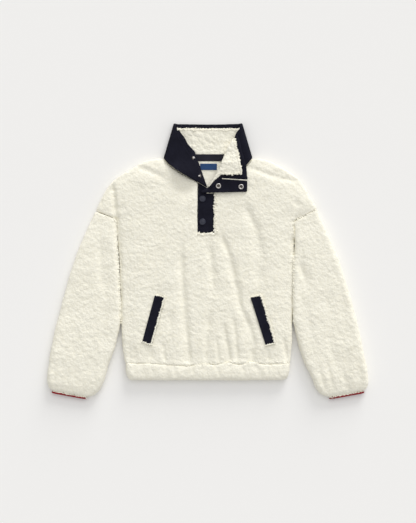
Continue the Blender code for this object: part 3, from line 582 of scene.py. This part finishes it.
HEM_CREASES = (
    (-185, -258, -183, -286, 4, 1.2),
    (-140, -258, -141, -284, 4, 1.2),
    (-84, -258, -82, -290, 4.5, 1.5),
    (-38, -258, -40, -284, 4, 1.2),
    (24, -256, 26, -286, 4.5, 1.4),
    (86, -254, 90, -288, 4, 1.4),
    (148, -256, 150, -284, 4, 1.2),
    (186, -256, 186, -284, 4, 1.0),
)
HEM_SIZE, HEM_MIDDLE = (0.86, 0.05), 0.0112
hem_mesh = pile_cloth("hem_casing", "hem_band", HEM_MIDDLE, HEM_CREASES, seed=6.0)
hem = new_piece(hem_mesh, cream_pile, "cream_sherpa", "hem_band")


def surface_of(*pieces):
    """The surface of some pieces, to find their level seen from above."""
    points, corners = [], []
    for piece in pieces:
        first = len(points)
        points.extend(vertex.co.copy() for vertex in piece.data.vertices)
        corners.extend([first + k for k in polygon.vertices] for polygon in piece.data.polygons)
    return BVHTree.FromPolygons(points, corners)


HIGH_ABOVE, DOWN = 0.1, Vector((0, 0, -1))


def level_at(surface, x, y, reach=0.0):
    """The highest level at a place and, with a reach, at the four places that far from it."""
    best = 0.0
    for across, along in ((0, 0), (reach, 0), (-reach, 0), (0, reach), (0, -reach)):
        hit = surface.ray_cast(Vector((x + across, y + along, HIGH_ABOVE)), DOWN)[0]
        best = max(best, hit.z if hit else 0.0)
        if not reach:
            break
    return best


def strewn(rows, spacing, spread, generator):
    """Random places along lines, given as rows of x and y of both ends in mm."""
    places = []
    for x0, y0, x1, y1 in rows:
        length = math.hypot(x1 - x0, y1 - y0)
        count = max(2, round(length / spacing))
        part = (np.arange(count) + generator.random(count)) / count
        aside = generator.normal(0, spread, count)
        across = np.array([y0 - y1, x1 - x0]) / length
        places.append(np.array([x0, y0]) + part[:, None] * (x1 - x0, y1 - y0) + aside[:, None] * across)
    return np.concatenate(places) / 1000


def repeated(name, shape, places, turns, sizes):
    """One mesh of many copies of a small shape, each turned about the vertical and scaled."""
    points, corners = shape
    cosine, sine = np.cos(turns)[:, None], np.sin(turns)[:, None]
    scaled = points[None] * sizes[:, None, :]
    x = scaled[..., 0] * cosine - scaled[..., 1] * sine
    y = scaled[..., 0] * sine + scaled[..., 1] * cosine
    moved = np.stack([x, y, scaled[..., 2]], axis=2) + places[:, None, :]
    first = (np.arange(len(places)) * len(points))[:, None, None]
    mesh = bpy.data.meshes.new(name)
    mesh.from_pydata(moved.reshape(-1, 3).tolist(), [], (corners[None] + first).reshape(-1, 3).tolist())
    mesh.shade_smooth()
    return mesh


def ball_shape(subdivisions):
    shape = bmesh.new()
    bmesh.ops.create_icosphere(shape, subdivisions=subdivisions, radius=1.0)
    return corners_of(shape)


# A curl's length, width and height for its radius, and its least size and the spread above it
CURL_SHAPE, CURL_LEAST, CURL_SPREAD = np.array([1.3, 0.85, 0.75]), 0.65, 0.7


def curl_shape():
    """A ball, made lumpy as a curl of pile is."""
    points, corners = ball_shape(2)
    lumps = 0.16 * np.sin(7 * points[:, :1] + 4 * points[:, 1:2]) + 0.1 * np.sin(9 * points[:, 2:] + 1)
    return points * (1 + lumps), corners


def pile_tufts(name, rows, under, curl, seed, sink=0.3):
    """Separate curls of pile strewn along lines. The curl's spacing, spread and radius are in mm, and
    it sinks in by a share of its radius."""
    spacing, spread, radius = curl
    generator = np.random.default_rng(seed)
    flat = strewn(rows, spacing, spread, generator)
    radius /= 1000
    sizes = radius * (CURL_LEAST + CURL_SPREAD * generator.random((len(flat), 1))) * CURL_SHAPE
    level = np.array([level_at(under, x, y, radius) for x, y in flat])
    places = np.column_stack([flat, level - sink * radius])
    turns = generator.random(len(flat)) * 2 * math.pi
    mesh = repeated(name, curl_shape(), places, turns, sizes)
    return new_piece(mesh, cream_pile, "cream_sherpa")


# Lines where pile grows over a seam: x and y of both ends, mm
SEAM_LINES = (
    (-282, 122, -232, 104),
    (272, 128, 214, 104),
    (209, 104, 210, 62),
    (213, 104, 213, 62),
    (209, 12, 211, -100),
    (213, 12, 215, -100),
    (-204, -252, -130, -253),
    (-130, -253, -50, -258),
    (-50, -258, 60, -252),
    (60, -252, 130, -253),
    (130, -253, 203, -252),
)
SEAM_CURL, SEAM_SINK = (2.6, 1.7, 2.0), 0.75
around = surface_of(front, hem, *sleeves)
seam_pile = pile_tufts("seam_pile", SEAM_LINES, around, SEAM_CURL, seed=11, sink=SEAM_SINK)

# The two armholes, where the curls lie deep between the sleeve and the body
ARMHOLE_LINES = ((-232, 104, -217, -155), (211, 104, 213, 20), (213, 20, 216, -155))
ARMHOLE_CURL, ARMHOLE_SINK = (1.7, 0.5, 2.3), 1.5
around = surface_of(front, *sleeves)
armhole_pile = pile_tufts("armhole_pile", ARMHOLE_LINES, around, ARMHOLE_CURL, seed=18, sink=ARMHOLE_SINK)

# ---------------------------------------------------------------- cuff bindings
# A narrow dark red woven binding turned over each cuff edge and sewn through. The sleeve's pile
# stands a little over its upper edge.

# Crossing threads: two sets of fine ridges, painted shade deeper between them, and the colour a little
# uneven.
woven, given, out = group_of(
    "woven_threads",
    (
        ("Thread", "NodeSocketColor", (0.02, 0.02, 0.04, 1)),
        ("Gap_shade", "NodeSocketColor", (0.01, 0.01, 0.02, 1)),
        ("Threads", "NodeSocketFloat", 300.0),
        ("Slant", "NodeSocketFloat", 0.0),
    ),
    (("Color", "NodeSocketColor"), ("Height", "NodeSocketFloat")),
)
place = node(woven, "ShaderNodeTexCoord").outputs["Object"]
turn = node(woven, "ShaderNodeVectorRotate", {"rotation_type": "Z_AXIS"}, Vector=place)
woven.links.new(given.outputs["Slant"], turn.inputs["Angle"])
ridges = []
for direction in ("X", "Y"):
    bands = {"bands_direction": direction}
    ridge = node(woven, "ShaderNodeTexWave", bands, Vector=turn.outputs[0], Distortion=0.6, Detail=1.0)
    woven.links.new(given.outputs["Threads"], ridge.inputs["Scale"])
    ridges.append(ridge.outputs["Fac"])
cross = node(woven, "ShaderNodeMath", {"operation": "MAXIMUM"}, _0=ridges[0], _1=ridges[1])
cloudy = node(woven, "ShaderNodeTexNoise", Vector=place, Scale=45.0, Detail=4.0)
uneven = mapped(woven, cloudy.outputs["Fac"], (0.3, 0.7), (-0.35, 0.25))
mixed = node(woven, "ShaderNodeMath", {"use_clamp": True}, _0=cross.outputs[0], _1=uneven.outputs["Result"])
# Painted shade: the gap colour lies between the ridges, where the bump is lowest
colour = node(woven, "ShaderNodeMixRGB", Fac=mixed.outputs[0])
woven.links.new(given.outputs["Gap_shade"], colour.inputs["Color1"])
woven.links.new(given.outputs["Thread"], colour.inputs["Color2"])
woven.links.new(colour.outputs["Color"], out.inputs["Color"])
woven.links.new(cross.outputs[0], out.inputs["Height"])

# The binding's gap colour is painted shade between its threads
red_weave = finish_of(
    "red_weave",
    woven,
    {"Thread": (0.36, 0.006, 0.016, 1), "Gap_shade": (0.14, 0.003, 0.007, 1), "Threads": 260.0},
    roughness=0.8,
    bump=0.4,
    depth=0.0004,
    specular=0.1,
)


LONG_WRINKLE, SHORT_WRINKLE, SHORT_SHARE = 0.021, 0.011, 0.6


def plain_cloth(name, node_name, longest, relax, wrinkle=0.0, seed=1.0, floor=False):
    """A copy of a solid in small triangles, slightly softened and wrinkled."""
    mesh = fine_mesh(name, node_name, longest)
    points = relaxed(mesh, points_of(mesh), relax, 0.5)
    if wrinkle:
        short = SHORT_SHARE * rolling(points, SHORT_WRINKLE, seed + 3)
        points[:, 2] += wrinkle * (rolling(points, LONG_WRINKLE, seed) + short)
    if floor:
        points[:, 2] = np.maximum(points[:, 2], LOWEST)
    put_points(mesh, points)
    return mesh


# The upper edge of each binding, where the sleeve's pile stands over it, mm
CUFF_PILE_LINES = {"left": ((-390, -324.5, -305, -340),), "right": ((390, -324.5, 305, -340),)}
CUFF_CURL, CUFF_SINK = (2.2, 0.8, 1.6), 0.4
CUFF_SIZE, CUFF_FINE = (0.185, 0.01), 0.003
for side, sleeve, seed in (("left", sleeves[0], 16), ("right", sleeves[1], 17)):
    solid = f"cuff_binding_{side}"
    binding_mesh = plain_cloth(f"cuff_edge_{side}", solid, CUFF_FINE, 3)
    binding = new_piece(binding_mesh, red_weave, "red_binding", solid)
    rows, around = CUFF_PILE_LINES[side], surface_of(binding, sleeve)
    cuff_tufts = pile_tufts(f"cuff_edge_pile_{side}", rows, around, CUFF_CURL, seed, CUFF_SINK)

# ---------------------------------------------------------------- neck tape and label
# A navy twill tape covers the seam of the collar and the back inside the neck. Below it is sewn
# a small woven label of plain blue satin.

# The tape's gap colour is painted shade between its threads
tape_weave = finish_of(
    "tape_weave",
    woven,
    {"Thread": (0.016, 0.0145, 0.024, 1), "Gap_shade": (0.006, 0.006, 0.01, 1), "Threads": 220.0, "Slant": 0.785},
    roughness=0.8,
    bump=0.5,
    depth=0.0004,
)
TAPE_SIZE, TAPE_FINE = (0.2, 0.0185), 0.005
tape_mesh = plain_cloth("neck_tape_cloth", "neck_tape", TAPE_FINE, 2, wrinkle=0.0001)
tape = new_piece(tape_mesh, tape_weave, "navy_tape", "neck_tape")

# The label's gap colour is painted shade between its threads
label_satin = finish_of(
    "label_satin",
    woven,
    {"Thread": (0.013, 0.058, 0.175, 1), "Gap_shade": (0.007, 0.032, 0.1, 1), "Threads": 420.0},
    roughness=0.42,
    bump=0.25,
    depth=0.0003,
)
LABEL_SIZE, LABEL_FINE = (0.043, 0.016), 0.002
label_mesh = plain_cloth("neck_label_cloth", "label", LABEL_FINE, 1)
label = new_piece(label_mesh, label_satin, "blue_label", "label")

# ---------------------------------------------------------------- collar
# A stand collar of navy woven cloth lined with sherpa, its top edge wrapped by the navy cloth. The
# left front lies closed; the right front is turned out and shows its lining and its navy facing.

# The navy cloth's gap colour is painted shade between its threads
navy_weave = finish_of(
    "navy_weave",
    woven,
    {"Thread": (0.0115, 0.0115, 0.021, 1), "Gap_shade": (0.005, 0.005, 0.0095, 1), "Threads": 330.0, "Slant": 0.6},
    roughness=0.8,
    bump=0.45,
    depth=0.0003,
    specular=0.1,
)
collar_mesh = plain_cloth("collar_cloth", "collar_shell", FINE, 3, wrinkle=0.00012, seed=7.0, floor=True)

# The left front's lower edge stands off the body; only the outer layer rises with it
LIFT, LIFT_PLACE, LIFT_REACH = 0.0145, np.array([-0.074, 0.218]), np.array([0.04, 0.027])
LIFT_FROM, LIFT_FULL = 0.012, 0.018
collar_points = points_of(collar_mesh)
away = ((collar_points[:, :2] - LIFT_PLACE) / LIFT_REACH) ** 2
above_back = np.clip((collar_points[:, 2] - LIFT_FROM) / (LIFT_FULL - LIFT_FROM), 0, 1)
collar_points[:, 2] += LIFT * np.exp(-away.sum(axis=1)) * above_back
put_points(collar_mesh, collar_points)
collar = new_piece(collar_mesh, navy_weave, "navy_cloth", "collar_shell")

LINING_SIZE, LINING_AREA, LINING_PILE = (0.43, 0.085), 0.028, 0.0015
lining_mesh = pile_cloth(
    "collar_pile", "collar_lining", None, seed=8.0, hidden=FINE, relax=4, tall=LINING_PILE
)
lining = new_piece(lining_mesh, cream_pile, "cream_sherpa", "collar_lining")


def between(left, right, step):
    """A grid of places between two lines, both given in mm with as many points."""
    left, right = np.array(left, float) / 1000, np.array(right, float) / 1000
    lengths = np.linalg.norm(np.diff((left + right) / 2, axis=0), axis=1)
    run = np.concatenate([[0], np.cumsum(np.maximum(lengths, 1e-5))])
    rows = np.linspace(0, run[-1], max(3, round(run[-1] / step)))
    left = np.column_stack([np.interp(rows, run, left[:, k]) for k in (0, 1)])
    right = np.column_stack([np.interp(rows, run, right[:, k]) for k in (0, 1)])
    across = np.linspace(0, 1, max(5, round(np.linalg.norm(right - left, axis=1).max() / step)))
    return left[:, None] + across[None, :, None] * (right - left)[:, None]


STRIP_REACH = 0.001  # how far round each place a strip looks for what it lies on
STRIP_SINK, STRIP_LOWEST, LEAD_DEPTH = 0.0004, 0.0002, 0.003
STRIP_NUBS, STRIP_SEED = 0.6 * PILE_SIZE, 21


def laid_over(name, places, under, height, rounded, pile=0.0, lead=0.0, even=6, fall=None):
    """A closed strip laid over what lies under it, its edges rounded down, with or without pile.

    Over the lead it rises slowly from below the surface. Its level is evened a few times over, and
    goes down no steeper than the fall."""
    rows, columns = places.shape[:2]
    level = np.array([[level_at(under, x, y, STRIP_REACH) for x, y in row] for row in places])
    for _ in range(even):
        padded = np.pad(level, 1, mode="edge")
        beside = padded[:-2, 1:-1] + padded[2:, 1:-1] + padded[1:-1, :-2] + padded[1:-1, 2:]
        level = (beside + 4 * level) / 8
    if fall:
        for row in range(1, rows):
            run = np.linalg.norm(places[row, columns // 2] - places[row - 1, columns // 2])
            level[row] = np.maximum(level[row], level[row - 1] - fall * run)
    edge = np.minimum(np.linspace(0, 1, columns), np.linspace(1, 0, columns))[None, :]
    width = np.linalg.norm(places[:, -1] - places[:, 0], axis=1)[:, None]
    inward = np.clip(edge * width / rounded, 0, 1)
    length = np.linalg.norm(np.diff(places[:, columns // 2], axis=0), axis=1).sum()
    ends = np.clip(np.minimum(np.linspace(0, 1, rows), np.linspace(1, 0, rows)) * length / rounded, 0, 1)
    dome = np.sqrt(1 - (1 - inward) ** 2) * np.sqrt(1 - (1 - ends[:, None]) ** 2)
    if lead:
        level -= LEAD_DEPTH * np.clip(1 - np.linspace(0, length, rows) / lead, 0, 1)[:, None]
    top = np.dstack([places, level + height * dome])
    bottom = np.dstack([places, np.maximum(level - STRIP_SINK, STRIP_LOWEST)])
    points = np.concatenate([top.reshape(-1, 3), bottom.reshape(-1, 3)])
    number = np.arange(rows * columns).reshape(rows, columns)
    below = number + rows * columns
    quads = [
        np.stack([number[:-1, :-1], number[1:, :-1], number[1:, 1:], number[:-1, 1:]], axis=2).reshape(-1, 4),
        np.stack([below[:-1, :-1], below[:-1, 1:], below[1:, 1:], below[1:, :-1]], axis=2).reshape(-1, 4),
    ]
    for first, second in (
        (number[:, 0], below[:, 0]),
        (below[:, -1], number[:, -1]),
        (below[0], number[0]),
        (number[-1], below[-1]),
    ):
        quads.append(np.column_stack([first[:-1], second[:-1], second[1:], first[1:]]))
    mesh = bpy.data.meshes.new(name)
    mesh.from_pydata(points.tolist(), [], np.concatenate(quads).tolist())
    mesh.update()
    if pile:
        dome, number = nubs(points, STRIP_NUBS, STRIP_SEED)
        upper = np.arange(len(points)) < rows * columns
        points += normals_of(mesh) * (pile * (dome * (0.4 + 0.8 * number) - 0.2) * upper)[:, None]
        put_points(mesh, points)
    mesh.shade_smooth()
    return mesh


# The lining's pile on the turned flap, a row of left and right edges at each step down, mm
FLAP_PILE_LEFT = (
    (42, 268), (35, 250), (29, 234.4), (23.8, 225.6), (20.6, 219), (20.2, 218.4), (11, 203), (1.5, 187)
)
FLAP_PILE_RIGHT = (
    (72, 268), (77, 250), (80.8, 234.4), (82.4, 225.6), (83.4, 219), (33.5, 217.6), (19, 206), (3.5, 188)
)
# The navy binding below it and the edge of the lining that shows under the binding
BINDING_LEFT = ((3, 190), (17, 203), (33, 219.4), (45, 219.6), (98.5, 219.4))
BINDING_RIGHT = ((2, 180), (20, 192), (35, 208.4), (45, 208.2), (98.5, 207.6))
EDGE_LEFT = ((34, 208.8), (60, 207.2), (97.5, 204.6))
EDGE_RIGHT = ((34.5, 206.2), (60, 204.5), (97.5, 201.8))
FLAP_STEP, BINDING_STEP, EDGE_STEP = 0.0015, 0.0012, 0.0006
under = surface_of(collar, lining)
flap_mesh = laid_over(
    "flap_pile",
    between(FLAP_PILE_LEFT, FLAP_PILE_RIGHT, FLAP_STEP),
    under,
    height=0.003,
    rounded=0.004,
    pile=0.0016,
    lead=0.022,
    even=24,
    fall=0.1,
)
flap = new_piece(flap_mesh, cream_pile, "cream_sherpa")
places = between(BINDING_LEFT, BINDING_RIGHT, BINDING_STEP)
binding_mesh = laid_over("flap_binding", places, under, height=0.0024, rounded=0.005)
binding = new_piece(binding_mesh, navy_weave, "navy_cloth")
places = between(EDGE_LEFT, EDGE_RIGHT, EDGE_STEP)
edge_mesh = laid_over("flap_edge", places, under, height=0.0018, rounded=0.0016, pile=0.0004)
edge = new_piece(edge_mesh, cream_pile, "cream_sherpa")

# Lines where the lining's pile stands over the navy cloth's edge, mm
COLLAR_PILE_LINES = (
    (-77, 333.4, 78, 333),
    (-77, 330.8, 77, 330.4),
    (64, 306, 70, 279),
    (67, 306, 73, 279),
    (70, 279, 80, 230),
    (73, 279, 83, 222),
    (34, 219, 83, 219),
)
COLLAR_CURL = (1.6, 0.9, 1.9)
around = surface_of(collar, lining, flap)
collar_tufts = pile_tufts("collar_edge_pile", COLLAR_PILE_LINES, around, COLLAR_CURL, seed=12)

STITCH_SPACING = 3.2  # mm
STITCH_SIZE = (0.00115, 0.0003, 0.00028)  # half of a stitch's length, width and height
STITCH_RISE = 0.4 * STITCH_SIZE[2]
# The thread's gap colour is painted shade between its fibres
navy_thread = finish_of(
    "navy_thread",
    woven,
    {"Thread": (0.03, 0.03, 0.05, 1), "Gap_shade": (0.015, 0.015, 0.025, 1), "Threads": 900.0},
    roughness=0.6,
)


def stitches(name, rows, under):
    """Sewing along lines given as rows of x and y of both ends in mm."""
    places, turns = [], []
    for x0, y0, x1, y1 in rows:
        count = round(math.hypot(x1 - x0, y1 - y0) / STITCH_SPACING)
        for k in range(count):
            part = (k + 0.5) / count
            x, y = (x0 + part * (x1 - x0)) / 1000, (y0 + part * (y1 - y0)) / 1000
            places.append((x, y, level_at(under, x, y) + STITCH_RISE))
            turns.append(math.atan2(y1 - y0, x1 - x0))
    sizes = np.tile(STITCH_SIZE, (len(places), 1))
    mesh = repeated(name, ball_shape(1), np.array(places), np.array(turns), sizes)
    return new_piece(mesh, navy_thread, "navy_cloth")


COLLAR_STITCHES = (
    (-82, 330, -69, 300),
    (-69, 300, -42, 262),
    (-42, 262, -25, 238),
    (-25, 238, -10, 195),
    (-107, 257, -76, 234),
    (-76, 234, -30, 207),
    (-80, 343, 80, 343),
    (20, 178, 95, 178),
    (95, 178, 95, 202),
)
collar_seams = stitches("collar_stitches", COLLAR_STITCHES, surface_of(collar))

# ---------------------------------------------------------------- placket
# The half placket of navy cloth let into the front's slit, over the strip of the other edge. The
# pile round it stands over its foot and its right edge.

NAVY_FINE = 0.0024  # the longest edge of a triangle in the placket and the welts
placket_mesh = plain_cloth("placket_cloth", "placket", NAVY_FINE, 2, wrinkle=0.00015, seed=9.0)
placket = new_piece(placket_mesh, navy_weave, "navy_cloth", "placket")

# The lines where the pile stands over the placket, then its lines of sewing, mm
PLACKET_PILE_LINES = (
    (17.6, 71, 17.8, 168),
    (19.5, 70, 19.6, 168),
    (-25, 70.2, 18, 70),
    (-26, 68.4, 18, 68.2),
)
PLACKET_STITCHES = ((-23, 76, -23, 166), (12.6, 78, 12.6, 166), (-22, 77.5, 12, 77.5), (-22, 84, 12, 84))
PLACKET_CURL, PLACKET_SINK = (2.2, 1.5, 2.3), 0.2
rows, around = PLACKET_PILE_LINES, surface_of(placket, front)
placket_tufts = pile_tufts("placket_edge_pile", rows, around, PLACKET_CURL, seed=13, sink=PLACKET_SINK)
placket_seams = stitches("placket_stitches", PLACKET_STITCHES, surface_of(placket))

underlap_mesh = plain_cloth("placket_under_cloth", "placket_underlap", NAVY_FINE, 2)
underlap = new_piece(underlap_mesh, navy_weave, "navy_cloth", "placket_underlap")

# ---------------------------------------------------------------- pocket welts
# Two slanted welts of the navy cloth, folded and sewn flat along both long edges, one over each
# hand pocket. The pile round them stands over their edges.

# Edges of each welt where the pile stands over it, then its lines of sewing, mm
WELT_PILE_LINES = {
    "left": (
        (-107, -86, -142, -207),
        (-108, -86, -143, -208),
        (-166, -200, -142, -208),
        (-131, -83, -108, -88),
    ),
    "right": (
        (133, -83, 168, -202),
        (132, -84, 167, -203),
        (142, -209, 168, -203),
        (108, -89, 130, -83),
    ),
}
WELT_STITCHES = {
    "left": ((-130, -87, -163, -199), (-111, -91, -145, -204)),
    "right": ((110, -91, 144, -206), (129, -86, 165, -201)),
}
WELT_SIZE, WELT_CURL = (0.027, 0.122), (1.9, 0.7, 1.7)
for side, seed in (("left", 14), ("right", 15)):
    solid = f"pocket_welt_{side}"
    welt_mesh = plain_cloth(f"welt_cloth_{side}", solid, NAVY_FINE, 3, wrinkle=0.0002, seed=10.0)
    welt = new_piece(welt_mesh, navy_weave, "navy_cloth", solid)
    rows, around = WELT_PILE_LINES[side], surface_of(welt, front)
    welt_tufts = pile_tufts(f"welt_edge_pile_{side}", rows, around, WELT_CURL, seed)
    welt_seams = stitches(f"welt_stitches_{side}", WELT_STITCHES[side], surface_of(welt))

# ---------------------------------------------------------------- snaps
# Press snaps of stamped metal: two navy painted caps on the placket, and on the collar's edges
# two steel sockets and the two steel studs that press into them.

# Rows of radius and height above the foot, mm
CAP_PROFILE = (
    (8.2, 0), (8.2, 0.7), (7.9, 1.5), (7.1, 2.2), (6.2, 2.5),
    (5.7, 2.4), (5.4, 2.2), (4, 2.6), (2, 2.9), (0, 3),
)
SOCKET_PROFILE = (
    (6.8, 0), (6.8, 0.8), (6.4, 1.6), (5.6, 2.1), (4.7, 2.2), (3.9, 1.8), (3.4, 1.1), (3.1, 0.5), (0, 0.4)
)
STUD_PROFILE = (
    (6.1, 0), (6.1, 0.6), (5.5, 1.1), (3.6, 1.3), (2.5, 1.6),
    (2.1, 2.2), (2.3, 3), (1.9, 3.7), (1, 4), (0, 4.1),
)
TURNED_SIDES = 48
WEAR_SCALE, WEAR_STRENGTH, WEAR_DEPTH = 400.0, 0.15, 0.0002


def metal_of(name, colour, roughness, metallic):
    """A stamped metal with a slightly uneven surface."""
    made = bpy.data.materials.new(name)
    made.use_nodes = True
    tree = made.node_tree
    shader = tree.nodes["Principled BSDF"]
    shader.inputs["Base Color"].default_value = (*colour, 1)
    shader.inputs["Metallic"].default_value = metallic
    shader.inputs["Roughness"].default_value = roughness
    place = node(tree, "ShaderNodeTexCoord").outputs["Object"]
    worn = node(tree, "ShaderNodeTexNoise", Vector=place, Scale=WEAR_SCALE).outputs["Fac"]
    relief = node(tree, "ShaderNodeBump", Strength=WEAR_STRENGTH, Distance=WEAR_DEPTH, Height=worn)
    tree.links.new(relief.outputs["Normal"], shader.inputs["Normal"])
    return made


def turned(name, profile, node_name):
    """A round part on the place and slant of its solid."""
    box = points_of(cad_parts[node_name].data)
    centre = (box.min(axis=0) + box.max(axis=0)) / 2
    spread = np.linalg.eigh(np.cov((box - box.mean(axis=0)).T))[1]
    axis = Vector(spread[:, 0] if spread[2, 0] > 0 else -spread[:, 0])
    turn = axis.to_track_quat("Z", "Y").to_matrix()
    top = max(height for _, height in profile)
    points, faces = [], []

    def add_point(radius, angle, height):
        local = Vector((radius * math.cos(angle), radius * math.sin(angle), height - top / 2)) / 1000
        points.append(tuple(Vector(centre) + turn @ local))

    for radius, height in profile[:-1]:
        for k in range(TURNED_SIDES):
            add_point(radius, 2 * math.pi * k / TURNED_SIDES, height)
    crown, foot = len(points), len(points) + 1
    add_point(0, 0, profile[-1][1])
    add_point(0, 0, 0)
    rings = len(profile) - 1
    for ring in range(rings):
        for k in range(TURNED_SIDES):
            here, after = ring * TURNED_SIDES + k, ring * TURNED_SIDES + (k + 1) % TURNED_SIDES
            if ring < rings - 1:
                faces.append((here, after, after + TURNED_SIDES, here + TURNED_SIDES))
            else:
                faces.append((here, after, crown))
    for k in range(TURNED_SIDES):
        faces.append(((k + 1) % TURNED_SIDES, k, foot))
    mesh = bpy.data.meshes.new(name)
    mesh.from_pydata(points, [], faces)
    mesh.shade_smooth()
    return mesh


def darken(mesh, shadow, first, end):
    """The rings of a turned part from the first to the one before the end get the shadow's finish."""
    mesh.materials.append(shadow)
    for polygon in mesh.polygons:
        if first * TURNED_SIDES <= polygon.index < end * TURNED_SIDES:
            polygon.material_index = 1


cap_metal = metal_of("cap_metal", (0.014, 0.016, 0.034), roughness=0.42, metallic=0.0)
snap_steel = metal_of("snap_steel", (0.52, 0.5, 0.48), roughness=0.34, metallic=1.0)
# The socket shadow is painted shade: a darker, browner copy of the steel
socket_shadow = metal_of("socket_shadow", (0.1, 0.085, 0.07), roughness=0.55, metallic=0.6)

# The dark rings, in painted shade, are a socket's inner wall and floor and a stud's plate
for kind, profile, finish, slot, dark_rings in (
    ("cap", CAP_PROFILE, cap_metal, "navy_metal", None),
    ("socket", SOCKET_PROFILE, snap_steel, "steel", (5, 8)),
    ("stud", STUD_PROFILE, snap_steel, "steel", (0, 3)),
):
    for number in (1, 2):
        solid = f"snap_{kind}_{number}"
        part_mesh = turned(f"{kind}_{number}", profile, solid)
        new_piece(part_mesh, finish, slot, solid)
        if dark_rings:
            darken(part_mesh, socket_shadow, *dark_rings)
